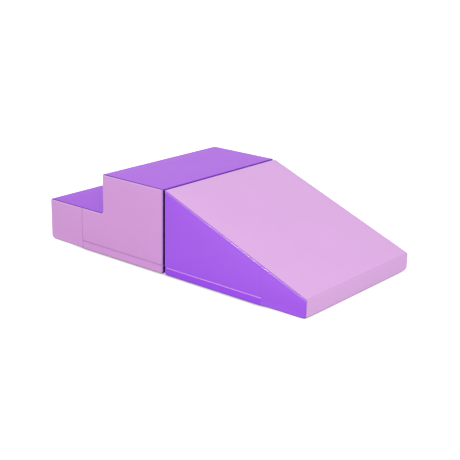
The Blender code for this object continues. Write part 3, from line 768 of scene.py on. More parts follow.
# %% Sew a panel
def sew_panel(block, name, faces, material, slot):
    """One panel of the cover: the shaped skin, its flat backing and a wall between their borders."""
    index = {}
    loops = [[index.setdefault(vert, len(index)) for vert in face.verts] for face in faces]
    points = [vert.co.copy() for vert in index]
    normals = [vert.normal.copy() for vert in index]
    border = border_of(loops)
    trees = seam_trees(block, points, normals, border)
    ways = drawn_back(points, normals, loops, border)
    outer, inner = [], []
    values = {"from_seam": [], "from_top": [], "from_back": []}
    for number, (point, normal) in enumerate(zip(points, normals)):
        found = dict.fromkeys(KINDS, FAR_AWAY)
        found.update((kind, min(tree.find(point)[2], FAR_AWAY)) for kind, tree in trees.items())
        gaps = {
            "corner": min(found["top"], found["front"], found["foot"]),
            "rear": min(found["ridge"], found["back"]),
            "upright": found["upright"],
            "slit": found["slit"],
        }
        shift, crown = cloth_shift(block, point, gaps)
        aside = Vector((0.0, 0.0, curl(block, point)))
        if number in ways:
            aside += ways[number] * FIT / 2
        outer.append(block.place @ (point + normal * shift + aside))
        inner.append(block.place @ (point + normal * (crown - COVER) + aside))
        values["from_seam"].append(stitched_gap(block, gaps) / MM)
        values["from_top"].append(min(found["top"], found["ridge"]) / MM)
        values["from_back"].append(gaps["rear"] / MM)
    count = len(outer)
    walls = [(b, a, a + count, b + count) for a, b in border]
    backs = [[number + count for number in reversed(loop)] for loop in loops]
    mesh = bpy.data.meshes.new(name)
    mesh.from_pydata(outer + inner, [], loops + backs + walls)
    for label, measured in values.items():
        mesh.attributes.new(label, "FLOAT", "POINT").data.foreach_set("value", measured * 2)
    made = finished(name, smoothed(mesh, 50), block.body, slot, material)
    return made


print("cloth, mm:", round(COVER / MM, 1))

# %% Names and finishes of the panels
def panel_of(block, face, straight, is_side):
    """Name of the panel that a face of the skin belongs to, or None inside the zip's slit."""
    centre = face.calc_center_median()
    back = len(block.corners) - 1
    side = "near" if centre.y * block.near > 0 else "far"
    if face[is_side] and centre.x > block.seam:
        return f"{block.front}_{side}"
    if face[is_side] or face[straight] == back:
        word = side if face[is_side] else None
        if centre.z > block.zip + ZIP_SLIT / 2:
            return f"side_{word}" if word else "back_panel"
        if centre.z < block.zip - ZIP_SLIT / 2:
            return f"hem_{word}" if word else "hem_back"
        return None
    return block.bands[face[straight]]


def finish_of(block, panel):
    """Material and record slot of a panel."""
    if panel == "base_panel":
        return BASE_CLOTH, "base_cover"
    if panel in ("back_panel", "hem_back"):
        return BACK_SHADE_VIOLET, "back_cover"
    if panel == "slope_panel":
        return SLOPE_LILAC, "lilac_cover"
    if panel.startswith("riser"):
        return RISER_PURPLE, "purple_cover"
    if panel.startswith("tread"):
        return LOWER_TREAD_PURPLE if panel == "tread_lower" else TREAD_PURPLE, "purple_cover"
    if block is STEP:
        return SIDE_PINK, "pink_lilac_cover"
    return HEM_PURPLE if panel.startswith("hem") else SIDE_PURPLE, "purple_cover"


print("slot of the ramp's slope:", finish_of(RAMP, "slope_panel")[1])

# %% Sew both covers
panels = {}
for block in (STEP, RAMP):
    skin, straight, is_side = skins[block.name]
    groups = {}
    for face in skin.faces:
        groups.setdefault(panel_of(block, face, straight, is_side), []).append(face)
    groups.pop(None)
    for panel, faces in sorted(groups.items()):
        node = f"{block.name}_{panel}"
        made = sew_panel(block, f"{node}_sewn", faces, *finish_of(block, panel))
        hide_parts(node)
        panels[node] = made
    skin.free()
print("panels:", len(panels), "faces:", sum(len(made.data.polygons) for made in panels.values()))

# %% [markdown]
# ## Foam cores
# Inside each cover is closed-cell polyethylene foam, sawn and glued: two slabs make the step
# block and one wedge the ramp. They could be lofted like the cover, but the CAD solids have their
# form already, with the groove for the zip, so copies of those meshes are used. Such a mesh is
# loose triangles; merging its doubles closes it first. The cut faces show the foam's cells, about
# 1.5 mm across, as a fine Voronoi bump.

# %% Foam cores
FOAM_CELL = 1.5 * MM
CELL_DEPTH = 0.3 * MM


def foam():
    """Closed-cell foam: dull and nearly white, pitted where it was sawn."""
    made, tree, shader = new_material("closed-cell polyethylene foam", Roughness=0.8)
    place = add_node(tree, "ShaderNodeTexCoord").outputs["Object"]
    cells = add_node(tree, "ShaderNodeTexVoronoi", {"Vector": place, "Scale": 1 / FOAM_CELL})
    tint = {"Factor": cells.outputs["Distance"], 6: linear("#F1F1ED"), 7: linear("#D8D8D2")}
    colour = add_node(tree, "ShaderNodeMix", tint, data_type="RGBA").outputs[2]
    tree.links.new(colour, shader.inputs["Base Color"])
    pits = {"Height": cells.outputs["Distance"], "Distance": CELL_DEPTH, "Strength": 0.6}
    tree.links.new(add_node(tree, "ShaderNodeBump", pits).outputs[0], shader.inputs["Normal"])
    return made


FOAM = foam()
print("cells to a centimetre:", round(10 * MM / FOAM_CELL))

# %% Trim the cores to the curled foot
for node in ("step_core_lower", "step_core_upper", "ramp_core"):
    work = bmesh.new()
    work.from_mesh(frame["nodes"][node].data)
    bmesh.ops.remove_doubles(work, verts=work.verts, dist=CUT_SNAP)
    block = RAMP if node == "ramp_core" else STEP
    work.transform(block.place.inverted())
    slice_skin(work, lambda face: True, even_places(block.seam, block.corners[1][0]), 0)
    slice_skin(work, lambda face: True, [way * (WIDTH / 2 - CURL_REACH) for way in (-1, 1)], 1)
    for vert in work.verts:
        vert.co.z += curl(block, vert.co)
    work.transform(block.place)
    open_edges = sum(not edge.is_manifold for edge in work.edges)
    mesh = smoothed(mesh_of(work, f"{node}_foam"), 30)
    core = finished(f"{node}_foam", mesh, block.body, "foam", FOAM)
    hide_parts(node)
    print(node, "faces:", len(mesh.polygons), "open edges:", open_edges)

# %% [markdown]
# ## Threads, coils and pile by Geometry Nodes
# A row of stitches, the teeth of a zip and the pile of a fastening strip all repeat one small
# thing along a route or over a bed of points. Loops in the script could place every vertex, but
# Geometry Nodes lay copies down much faster and keep the sizes in one place. Three short trees
# make them. The route is a mesh of points and edges. Each tree has named inputs for its sizes,
# ends in Realize Instances and Set Material, and `grown` turns its result into a plain mesh and
# takes the modifier off again.

# %% Helpers for Geometry Nodes
SOCKETS = {"float": "NodeSocketFloat", "int": "NodeSocketInt", "vector": "NodeSocketVector"}


def new_tree(name, **inputs):
    """A geometry tree with its group sockets, and the output sockets of its group input."""
    tree = bpy.data.node_groups.new(name, "GeometryNodeTree")
    add = tree.interface.new_socket
    add("Geometry", in_out="OUTPUT", socket_type="NodeSocketGeometry")
    add("Geometry", in_out="INPUT", socket_type="NodeSocketGeometry")
    for label, kind in inputs.items():
        add(label, in_out="INPUT", socket_type=SOCKETS[kind])
    add("Material", in_out="INPUT", socket_type="NodeSocketMaterial")
    return tree, add_node(tree, "NodeGroupInput").outputs


def close_tree(tree, given, geometry):
    """Realize Instances, smooth shading and Set Material, then the tree's output."""
    real = add_node(tree, "GeometryNodeRealizeInstances", {0: geometry}).outputs[0]
    smooth = add_node(tree, "GeometryNodeSetShadeSmooth", {0: real}).outputs[0]
    dressed = add_node(
        tree, "GeometryNodeSetMaterial", {"Geometry": smooth, "Material": given["Material"]}
    ).outputs[0]
    add_node(tree, "NodeGroupOutput", {0: dressed})


print("kinds of input:", ", ".join(SOCKETS))

# %% Grow a mesh on a route or a bed
def grown(name, points, edges, tree, **values):
    """The tree's result on a mesh of points and edges, as a plain mesh."""
    seed = bpy.data.meshes.new(name)
    seed.from_pydata(points, edges, [])
    carrier = bpy.data.objects.new(name, seed)
    bpy.context.scene.collection.objects.link(carrier)
    modifier = carrier.modifiers.new(tree.name, "NODES")
    modifier.node_group = tree
    for item in tree.interface.items_tree:
        if item.in_out == "INPUT" and item.name in values:
            modifier[item.identifier] = values[item.name]
    evaluated = carrier.evaluated_get(bpy.context.evaluated_depsgraph_get())
    mesh = bpy.data.meshes.new_from_object(evaluated)
    carrier.modifiers.remove(modifier)
    bpy.data.objects.remove(carrier)
    mesh.materials.clear()
    return mesh


def chained(count, closed=False):
    """Edges from each point to the next."""
    return [(index, index + 1) for index in range(count - 1)] + ([(count - 1, 0)] if closed else [])


print("edges round four points:", chained(4, closed=True))

# %% Stitches along a route
def stitch_tree():
    """A ball that is drawn out along the route, laid down at every pitch."""
    tree, given = new_tree("stitches along a route", Pitch="float", Length="float", Thread="float")
    route = add_node(tree, "GeometryNodeMeshToCurve", {0: given["Geometry"]}).outputs[0]
    row = add_node(
        tree, "GeometryNodeResampleCurve", {"Curve": route, "Length": given["Pitch"]}, mode="LENGTH"
    ).outputs[0]
    ball = add_node(tree, "GeometryNodeMeshUVSphere", {"Segments": 6, "Rings": 4, "Radius": 1.0}).outputs[0]
    half = add_node(tree, "ShaderNodeMath", {0: given["Length"], 1: 0.5}, operation="MULTIPLY").outputs[0]
    size = add_node(
        tree, "ShaderNodeCombineXYZ", {"X": half, "Y": given["Thread"], "Z": given["Thread"]}
    ).outputs[0]
    stitch = add_node(tree, "GeometryNodeTransform", {"Geometry": ball, "Scale": size}).outputs[0]
    along = add_node(tree, "GeometryNodeInputTangent").outputs[0]
    turn = add_node(tree, "FunctionNodeAlignRotationToVector", {"Vector": along}, axis="X").outputs[0]
    placed = {"Points": row, "Instance": stitch, "Rotation": turn}
    close_tree(tree, given, add_node(tree, "GeometryNodeInstanceOnPoints", placed).outputs[0])
    return tree


STITCHES = stitch_tree()
print("nodes for stitches:", len(STITCHES.nodes))

# %% A coil along a route
def coil_tree():
    """The route's points are moved round it in an ellipse, and the new curve gets a round section."""
    tree, given = new_tree(
        "coil along a route", Turn="float", Steps="float", Deep="float", High="float", Wire="float"
    )
    route = add_node(tree, "GeometryNodeMeshToCurve", {0: given["Geometry"]}).outputs[0]
    step = add_node(
        tree, "ShaderNodeMath", {0: given["Turn"], 1: given["Steps"]}, operation="DIVIDE"
    ).outputs[0]
    dotted = add_node(
        tree, "GeometryNodeResampleCurve", {"Curve": route, "Length": step}, mode="LENGTH"
    ).outputs[0]
    gone = add_node(tree, "GeometryNodeSplineParameter").outputs["Length"]
    turns = add_node(tree, "ShaderNodeMath", {0: gone, 1: given["Turn"]}, operation="DIVIDE").outputs[0]
    angle = add_node(tree, "ShaderNodeMath", {0: turns, 1: 2 * pi}, operation="MULTIPLY").outputs[0]
    across = add_node(tree, "ShaderNodeMath", {0: angle}, operation="COSINE").outputs[0]
    up = add_node(tree, "ShaderNodeMath", {0: angle}, operation="SINE").outputs[0]
    deep = add_node(tree, "ShaderNodeMath", {0: across, 1: given["Deep"]}, operation="MULTIPLY").outputs[0]
    high = add_node(tree, "ShaderNodeMath", {0: up, 1: given["High"]}, operation="MULTIPLY").outputs[0]
    along = add_node(tree, "GeometryNodeInputTangent").outputs[0]
    aside = add_node(
        tree, "ShaderNodeVectorMath", {0: along, 1: (0.0, 0.0, 1.0)}, operation="CROSS_PRODUCT"
    ).outputs[0]
    inward = add_node(tree, "ShaderNodeVectorMath", {0: aside, "Scale": deep}, operation="SCALE").outputs[0]
    lift = add_node(tree, "ShaderNodeCombineXYZ", {"Z": high}).outputs[0]
    shift = add_node(tree, "ShaderNodeVectorMath", {0: inward, 1: lift}, operation="ADD").outputs[0]
    helix = add_node(tree, "GeometryNodeSetPosition", {"Geometry": dotted, "Offset": shift}).outputs[0]
    wire = add_node(
        tree, "GeometryNodeCurvePrimitiveCircle", {"Resolution": 4, "Radius": given["Wire"]}
    ).outputs[0]
    section = {"Curve": helix, "Profile Curve": wire, "Fill Caps": True}
    close_tree(tree, given, add_node(tree, "GeometryNodeCurveToMesh", section).outputs[0])
    return tree


COIL = coil_tree()
print("nodes for a coil:", len(COIL.nodes))

# %% Pile on a bed of points
def pile_tree():
    """A bent thread stands on every point: a hook whose end hangs free, or a loop that comes back."""
    tree, given = new_tree(
        "pile on a bed", Facing="vector", Rise="float", Reach="float", End="float", Wire="float",
        Jitter="float", Swing="float", Seed="int",
    )
    spread = add_node(
        tree, "ShaderNodeCombineXYZ", {"Y": given["Jitter"], "Z": given["Jitter"]}
    ).outputs[0]
    back = add_node(tree, "ShaderNodeVectorMath", {0: spread, "Scale": -1.0}, operation="SCALE").outputs[0]
    around = {0: back, 1: spread, "Seed": given["Seed"]}
    stray = add_node(tree, "FunctionNodeRandomValue", around, data_type="FLOAT_VECTOR").outputs[0]
    bed = add_node(
        tree, "GeometryNodeSetPosition", {"Geometry": given["Geometry"], "Offset": stray}
    ).outputs[0]
    twice = add_node(tree, "ShaderNodeMath", {0: given["Rise"], 1: 2.0}, operation="MULTIPLY").outputs[0]
    over = add_node(
        tree, "ShaderNodeMath", {0: twice, 1: given["End"]}, operation="SUBTRACT"
    ).outputs[0]
    middle = add_node(tree, "ShaderNodeCombineXYZ", {"X": given["Reach"], "Z": over}).outputs[0]
    end = add_node(tree, "ShaderNodeCombineXYZ", {"X": given["Reach"], "Z": given["End"]}).outputs[0]
    bow = {"Resolution": 5, "Start": (0.0, 0.0, 0.0), "Middle": middle, "End": end}
    thread = add_node(tree, "GeometryNodeCurveQuadraticBezier", bow).outputs[0]
    round_wire = {"Resolution": 3, "Radius": given["Wire"]}
    wire = add_node(tree, "GeometryNodeCurvePrimitiveCircle", round_wire).outputs[0]
    bent = add_node(
        tree, "GeometryNodeCurveToMesh", {"Curve": thread, "Profile Curve": wire, "Fill Caps": True}
    ).outputs[0]
    upright = add_node(
        tree, "FunctionNodeAlignRotationToVector", {"Vector": given["Facing"]}, axis="Z"
    ).outputs[0]
    least = add_node(tree, "ShaderNodeMath", {0: given["Swing"], 1: -1.0}, operation="MULTIPLY").outputs[0]
    to_and_fro = {2: least, 3: given["Swing"], "Seed": given["Seed"]}
    swing = add_node(tree, "FunctionNodeRandomValue", to_and_fro, data_type="FLOAT").outputs[1]
    spin = add_node(
        tree, "FunctionNodeAxisAngleToRotation", {"Axis": (0.0, 0.0, 1.0), "Angle": swing}
    ).outputs[0]
    turn = add_node(
        tree, "FunctionNodeRotateRotation", {0: upright, 1: spin}, rotation_space="LOCAL"
    ).outputs[0]
    placed = {"Points": bed, "Instance": bent, "Rotation": turn}
    close_tree(tree, given, add_node(tree, "GeometryNodeInstanceOnPoints", placed).outputs[0])
    return tree


PILE = pile_tree()
print("nodes for pile:", len(PILE.nodes))

# %% [markdown]
# ## Zip tape, lip and coil
# A concealed zip runs round three sides of each block, a little above the floor, so that the cover
# can be washed. From outside only two folded lips of tape show, meeting in the slit between the
# side panel and the hem. Behind the cover each tape lies flat, and a nylon coil is sewn to the
# edge that is folded in. Tape and lip are swept along the route by hand, since their section is
# no circle; the coil is grown by the tree above. On the far side lip and coil stop short of the
# parked slider, and along its run the two halves part by a millimetre, to let its neck through.

# %% Woven tape
# Middle of the joint between the blocks, and how far from it the tape's painted shade is whole and has
# ended
BETWEEN = -10 * MM
GAP_SHADE_WHOLE = 5 * MM
GAP_SHADE_ENDS = 8 * MM
# Waves to a metre of the slubs, which are the thicker places in a thread
SLUB_WAVES = 400.0
THREAD_DEPTH = 0.1 * MM


def woven(name, colour, shadow, pitch, roughness=0.75, gap_shade=None):
    """Woven narrow tape: a checker of threads, too fine to show one by one, gives its dull surface.
    Between the blocks its colour is darkened to violet, as painted shade of the narrow joint."""
    made, tree, shader = new_material(name, Roughness=roughness)
    place = add_node(tree, "ShaderNodeTexCoord").outputs["Object"]
    turned = add_node(
        tree, "ShaderNodeMapping", {"Vector": place, "Rotation": (radians(45), 0.0, radians(45))}
    ).outputs[0]
    threads = add_node(tree, "ShaderNodeTexChecker", {"Vector": turned, "Scale": 1 / pitch}).outputs["Fac"]
    slubs = add_node(tree, "ShaderNodeTexNoise", {"Vector": place, "Scale": SLUB_WAVES}).outputs["Fac"]
    mixed = add_node(tree, "ShaderNodeMath", {0: threads, 1: slubs}, operation="MULTIPLY").outputs[0]
    tint = {"Factor": mixed, 6: linear(colour), 7: linear(shadow)}
    toned = add_node(tree, "ShaderNodeMix", tint, data_type="RGBA").outputs[2]
    # Painted shade: the tape is darkened to violet in the narrow joint between the blocks
    if gap_shade:
        along = add_node(tree, "ShaderNodeSeparateXYZ", {0: place}).outputs["X"]
        away = add_node(tree, "ShaderNodeMath", {0: along, 1: BETWEEN}, operation="SUBTRACT").outputs[0]
        gone = add_node(tree, "ShaderNodeMath", {0: away}, operation="ABSOLUTE").outputs[0]
        in_gap = add_node(
            tree, "ShaderNodeMapRange", {"Value": gone, 1: GAP_SHADE_WHOLE, 2: GAP_SHADE_ENDS, 3: 1.0, 4: 0.0}
        ).outputs[0]
        gap_shaded = {"Factor": in_gap, 6: toned, 7: linear(gap_shade)}
        toned = add_node(tree, "ShaderNodeMix", gap_shaded, data_type="RGBA").outputs[2]
    tree.links.new(toned, shader.inputs["Base Color"])
    raised = {"Height": threads, "Distance": THREAD_DEPTH, "Strength": 0.5}
    tree.links.new(add_node(tree, "ShaderNodeBump", raised).outputs[0], shader.inputs["Normal"])
    return made


TAPE_PITCH = 0.5 * MM
TAPES = {
    "step": woven("woven polyester zip tape, rose", "#D49ADF", "#BE80CC", TAPE_PITCH, gap_shade="#4A1490"),
    "ramp": woven("woven polyester zip tape, lilac", "#F2B8FF", "#E09CF6", TAPE_PITCH, gap_shade="#4A1490"),
}
print("threads to a centimetre of tape:", round(10 * MM / TAPE_PITCH))

# %% Drawn nylon
# Waves to a metre of the wire's tone, and how dark and how pale it gets
DRAWN_WAVES = 180.0
DRAWN_TONES = (0.93, 1.05)


def nylon(name, colour, roughness=0.35):
    """Drawn nylon monofilament: smooth, a little clear, with slight tone changes along the wire."""
    made, tree, shader = new_material(name, Roughness=roughness, IOR=1.53)
    place = add_node(tree, "ShaderNodeTexCoord").outputs["Object"]
    drawn = add_node(tree, "ShaderNodeTexNoise", {"Vector": place, "Scale": DRAWN_WAVES}).outputs["Fac"]
    tones = {"Value": drawn, 3: DRAWN_TONES[0], 4: DRAWN_TONES[1]}
    value = add_node(tree, "ShaderNodeMapRange", tones).outputs[0]
    shaded = add_node(tree, "ShaderNodeHueSaturation", {"Color": linear(colour), "Value": value}).outputs[0]
    tree.links.new(shaded, shader.inputs["Base Color"])
    return made


COIL_NYLON = nylon("nylon zip coil", "#CFA0DC")
print("materials so far:", len(bpy.data.materials))

# %% Sizes of a zip
TAPE_THICK = 0.6 * MM
TAPE_FRONT = COVER + FIT
TAPE_BACK = TAPE_FRONT + TAPE_THICK
# From the zip's middle: where the flat tape begins and ends
TAPE_EDGE = 1.35 * MM
TAPE_WIDTH = 9.5 * MM
# The lip lies a little behind the cover's face, and its front is folded round
LIP_RECESS = 0.2 * MM
LIP_HIGH = ZIP_SLIT / 2 - FIT
LIP_FOLD = 0.5 * MM
# The coil's depth behind the cover's face and height over the zip's middle, where the tongue
# stops short of it, and the inputs of its tree
COIL_MIDDLE = (4.1 * MM, 1.25 * MM)
TONGUE_SHORT = 1.2 * MM
COIL_SIZES = {"Turn": 1.8 * MM, "Steps": 6.0, "Deep": 0.9 * MM, "High": 0.7 * MM, "Wire": 0.28 * MM}
# Radius of the route round a corner of the block
BEND = 9 * MM
BEND_STEPS = 8
# Room for the parked slider, the end of its run at the back, the route's points that the run lies
# between, and how far each half gives way there
PARKED = 11.8 * MM
RUN_END = 20 * MM
RUN_POINTS = 2
PARTED = 0.5 * MM
print("turns of coil to a centimetre:", round(10 * MM / COIL_SIZES["Turn"], 1))

# %% Route of a zip
def zip_route(block, depth, far_short=0.0):
    """Route of the zip at a depth below the cover's face, from the near side round to the far side.
    The slider runs between its last two points, and there the halves leave room for its neck."""
    half = WIDTH / 2
    bends = [(BEND, block.near * (half - BEND)), (BEND, -block.near * (half - BEND))]
    points = [Vector((block.seam - FIT, block.near * (half - depth)))]
    for number, centre in enumerate(bends):
        for step in range(BEND_STEPS + 1):
            angle = pi / 2 * (step / BEND_STEPS + number)
            spoke = Vector((-sin(angle), block.near * cos(angle)))
            points.append(Vector(centre) + spoke * (BEND - depth))
    points += [Vector((x, -block.near * (half - depth))) for x in (RUN_END, block.seam - FIT - far_short)]
    return points


def parted(high, from_end):
    """Height of a point of the zip: its inner side gives way along the slider's run."""
    inner = max(1 - (abs(high) - FIT / 2) / (LIP_HIGH - FIT / 2), 0.0)
    return high + copysign(PARTED * inner if from_end <= RUN_POINTS else 0.0, high)


print("points of a route:", len(zip_route(STEP, TAPE_FRONT)))

# %% Sweep a section along it
def swept(block, section, far_short=0.0):
    """Closed sweep of a section given as depth and height over the zip's middle."""
    rails = []
    for depth, high in section:
        route = zip_route(block, depth, far_short)
        heights = [block.zip + parted(high, len(route) - index) for index in range(len(route))]
        rails.append([Vector((at.x, at.y, height)) for at, height in zip(route, heights)])
    count, stations = len(section), len(rails[0])
    points = [block.place @ rails[row][station] for station in range(stations) for row in range(count)]
    faces = [
        (a * count + b, a * count + (b + 1) % count, (a + 1) * count + (b + 1) % count, (a + 1) * count + b)
        for a in range(stations - 1)
        for b in range(count)
    ]
    faces += [tuple(range(count))[::-1], tuple(range((stations - 1) * count, stations * count))]
    return points, faces


def lip_section(way):
    """The folded edge: round at the front, its tongue turned in towards the coil."""
    low = FIT / 2
    middle = (low + LIP_HIGH) / 2
    angles = [pi / 2 * share for share in (0.0, 0.35, 0.7, 1.0)]
    nose = [
        (LIP_RECESS + LIP_FOLD * (1 - cos(angle)), middle + (LIP_HIGH - middle) * sin(angle))
        for angle in angles
    ]
    under = [(depth, 2 * middle - high) for depth, high in nose[1:]]
    tip = COIL_MIDDLE[0] - TONGUE_SHORT
    tongue = [(tip, low), (tip, low + TAPE_THICK)]
    body = [(TAPE_BACK, low + TAPE_THICK), (TAPE_BACK, LIP_HIGH), (TAPE_FRONT, LIP_HIGH)]
    return [(depth, high * way) for depth, high in nose[::-1] + under + tongue + body]


print("corners of the lip's section:", len(lip_section(1)))

# %% One half of a zip
def zip_half(block, label, way):
    """Flat tape and folded lip, in place of the CAD node."""
    front, back = [[(depth, TAPE_EDGE), (depth, TAPE_WIDTH)] for depth in (TAPE_FRONT, TAPE_BACK)]
    points, faces = swept(block, [(depth, high * way) for depth, high in front + back[::-1]])
    lip_points, lip_faces = swept(block, lip_section(way), PARKED)
    faces += [tuple(index + len(points) for index in face) for face in lip_faces]
    work = bmesh.new()
    verts = [work.verts.new(point) for point in points + lip_points]
    for face in faces:
        work.faces.new([verts[index] for index in face])
    bmesh.ops.recalc_face_normals(work, faces=work.faces)
    name = f"{block.name}_zip_{label}_tape"
    mesh = smoothed(mesh_of(work, name), 40)
    made = finished(name, mesh, block.body, "zip_tape", TAPES[block.name])
    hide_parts(f"{block.name}_zip_{label}")


def coil_route(block, way):
    """Middle of a half's coil, which gives way along the slider's run."""
    depth, high = COIL_MIDDLE
    route = zip_route(block, depth, PARKED)
    rise = [high] * (len(route) - RUN_POINTS) + [high + PARTED] * RUN_POINTS
    return [block.place @ Vector((at.x, at.y, block.zip + up * way)) for at, up in zip(route, rise)]


route = coil_route(STEP, 1)
print("coil of the step block, mm:", round(sum((b - a).length for a, b in zip(route, route[1:])) / MM))

# %% Both zips
for block in (STEP, RAMP):
    for label, way in (("upper", 1), ("lower", -1)):
        zip_half(block, label, way)
        route = coil_route(block, way)
        coil = grown("coil", route, chained(len(route)), COIL, Material=COIL_NYLON, **COIL_SIZES)
        finished(f"{block.name}_zip_{label}_coil", coil, block.body, "zip_tape", COIL_NYLON)
        print(block.name, label, "coil, faces:", len(coil.polygons))

# %% [markdown]
# ## Slider and pull
# The slider and its pull are zinc alloy, cast and nickel plated. They could be modelled anew,
# but their CAD nodes have the right shape, so they stay and only get their finish: a cool pale
# metal, slightly blurred by tumbling, with the faint ripple of a casting.

# %% Plated metal
# Waves to a metre of the casting's ripple, and how deep it is
CAST_WAVES = 350.0
CAST_DEPTH = 0.05 * MM
# Roughness where the plating is bright and where it is tumbled or handled
BRIGHT, HANDLED = 0.22, 0.42


def plated_zinc():
    """Nickel on cast zinc."""
    made, tree, shader = new_material("nickel-plated zinc casting", Metallic=1.0, Roughness=0.3)
    place = add_node(tree, "ShaderNodeTexCoord").outputs["Object"]
    ripple = add_node(
        tree, "ShaderNodeTexNoise", {"Vector": place, "Scale": CAST_WAVES, "Detail": 4.0}
    ).outputs["Fac"]
    tint = {"Factor": ripple, 6: linear("#B5B5BC"), 7: linear("#D6D4D0")}
    toned = add_node(tree, "ShaderNodeMix", tint, data_type="RGBA").outputs[2]
    tree.links.new(toned, shader.inputs["Base Color"])
    rough = add_node(tree, "ShaderNodeMapRange", {"Value": ripple, 3: BRIGHT, 4: HANDLED}).outputs[0]
    tree.links.new(rough, shader.inputs["Roughness"])
    raised = {"Height": ripple, "Distance": CAST_DEPTH, "Strength": 0.4}
    tree.links.new(add_node(tree, "ShaderNodeBump", raised).outputs[0], shader.inputs["Normal"])
    return made


PLATED = plated_zinc()
for block in (STEP, RAMP):
    for label in ("slider", "pull"):
        node = frame["nodes"][f"{block.name}_zip_{label}"]
        node.data.materials.clear()
        node.data.materials.append(PLATED)

# %% [markdown]
# ## Fastening strips
# Two upright strips on each back hold the blocks together: hooks on the step block and loops on
# the ramp. A strip is a woven backing with heat-cut edges, sewn on with a row of stitches. The
# hooks stand in rows. The loops lie in all directions on a softer, thicker backing. Hair from a
# particle system could give the pile, but it is lost when a model is exported, so each hook and
# loop is a bent thread of real faces. They are drawn about twice as coarse as real ones, so that
# they can be seen at all.

# %% Sizes and finishes of the strips
STRIP_SIZE = (50 * MM, 190 * MM)
STRIP_CORNER = 6 * MM
# How far a strip's heat-cut edge is rounded
STRIP_EDGE = 0.3 * MM
STRIP_MIDDLES = ((-197.5 * MM, 160 * MM), (197.5 * MM, 160 * MM))
STRIP_PITCH = 0.7 * MM
STRIP_WEAVE = woven("woven nylon fastening tape", "#6B35B4", "#54269A", STRIP_PITCH)
STRIP_NYLON = nylon("nylon hooks and loops", "#7440BE", 0.45)
THREAD = nylon("polyester sewing thread", "#9A55DE", 0.5)
PALE_THREAD = nylon("pale polyester sewing thread", "#CF93D6", 0.5)
print("a strip, mm:", [round(size / MM) for size in STRIP_SIZE])

# %% Backing of a strip
def rounded_rectangle(inset, steps=5):
    """Outline of a strip, y-z, about its middle."""
    half = [size / 2 - STRIP_CORNER for size in STRIP_SIZE]
    points = []
    for quarter, (way_y, way_z) in enumerate(((1, 1), (-1, 1), (-1, -1), (1, -1))):
        for step in range(steps + 1):
            angle = pi / 2 * (quarter + step / steps)
            radius = STRIP_CORNER - inset
            points.append((way_y * half[0] + radius * cos(angle), way_z * half[1] + radius * sin(angle)))
    return points


def strip_outline(block, middle, inset, out):
    """The same outline in its place in the set, so far inside the strip's edge and out from the back."""
    outline = rounded_rectangle(inset)
    return [block.place @ Vector((-FIT - out, middle[0] + y, middle[1] + z)) for y, z in outline]


def strip_backing(block, middle, thickness):
    """A slab with softened edges, its foot on the back panel and its face outwards."""
    soft = STRIP_EDGE
    rings = [(0.0, 0.0), (0.0, thickness - soft), (0.3 * soft, thickness - 0.3 * soft), (soft, thickness)]
    points = []
    for inset, out in rings:
        points += strip_outline(block, middle, inset, out)
    count = len(points) // len(rings)
    work = bmesh.new()
    verts = [work.verts.new(point) for point in points]
    for low in range(0, len(points) - count, count):
        high = low + count
        for a, b in chained(count, closed=True):
            work.faces.new((verts[low + a], verts[low + b], verts[high + b], verts[high + a]))
    work.faces.new(verts[:count])
    work.faces.new(verts[-count:])
    bmesh.ops.recalc_face_normals(work, faces=work.faces)
    return smoothed(mesh_of(work, "strip"), 40)


print("points round a strip:", len(rounded_rectangle(0.0)))

# %% Hooks and loops
PILE_PITCH = 2.3 * MM
PILE_MARGIN = 3.4 * MM
# How deep each thread is rooted in the backing
ROOTED = 0.05 * MM


def strip_bed(block, middle, out):
    """Points in rows over the strip's face."""
    counts = [int((size - 2 * PILE_MARGIN) / PILE_PITCH) for size in STRIP_SIZE]
    starts = [centre - count * PILE_PITCH / 2 for centre, count in zip(middle, counts)]
    return [
        block.place @ Vector((-FIT - out, starts[0] + row * PILE_PITCH, starts[1] + step * PILE_PITCH))
        for row in range(counts[0] + 1)
        for step in range(counts[1] + 1)
    ]


HOOK = {
    "Rise": 1.3 * MM, "Reach": 0.9 * MM, "End": 0.7 * MM, "Wire": 0.14 * MM,
    "Jitter": 0.0, "Swing": 0.15, "Seed": 3,
}
LOOP = {
    "Rise": 1.2 * MM, "Reach": 1.3 * MM, "End": 0.0, "Wire": 0.10 * MM,
    "Jitter": 0.7 * MM, "Swing": 3.14, "Seed": 5,
}
print("points of a strip's bed:", len(strip_bed(STEP, STRIP_MIDDLES[0], 0.0)))

# %% The four strips
# What stands on each strip, and how thick its backing is
STRIPS = {"step": ("hook", 1.2 * MM, HOOK), "ramp": ("loop", 2.8 * MM, LOOP)}
STRIP_STITCHES = 1.8 * MM
stitching = {"step": [], "ramp": []}
for block in (STEP, RAMP):
    label, thickness, pile = STRIPS[block.name]
    bed = []
    for middle in STRIP_MIDDLES:
        side = "near" if middle[0] * block.near > 0 else "far"
        node = f"{block.name}_{label}_strip_{side}"
        mesh = strip_backing(block, middle, thickness)
        backing = finished(f"{node}_tape", mesh, block.body, "joining_strip", STRIP_WEAVE)
        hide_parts(node)
        bed += strip_bed(block, middle, thickness - ROOTED)
        stitching[block.name].append(strip_outline(block, middle, STRIP_STITCHES, thickness))
    facing = block.place.to_3x3() @ Vector((-1.0, 0.0, 0.0))
    mesh = grown("pile", bed, [], PILE, Facing=facing, Material=STRIP_NYLON, **pile)
    finished(f"{block.name}_{label}s", mesh, block.body, "joining_strip", STRIP_NYLON)
    print(block.name, label + "s:", len(bed), "faces:", len(mesh.polygons))

# %% [markdown]
# ## Stitching
# A row of stitches holds the turned-in edge of the cover to the zip tape on both sides of the
# slit, and another holds each fastening strip. The thread matches the cloth, so the rows are felt
# more than seen. Bump could draw them, but real stitches stand out where light comes in low. Each
# route follows the cloth's own height, so the stitches lie half sunk in it.

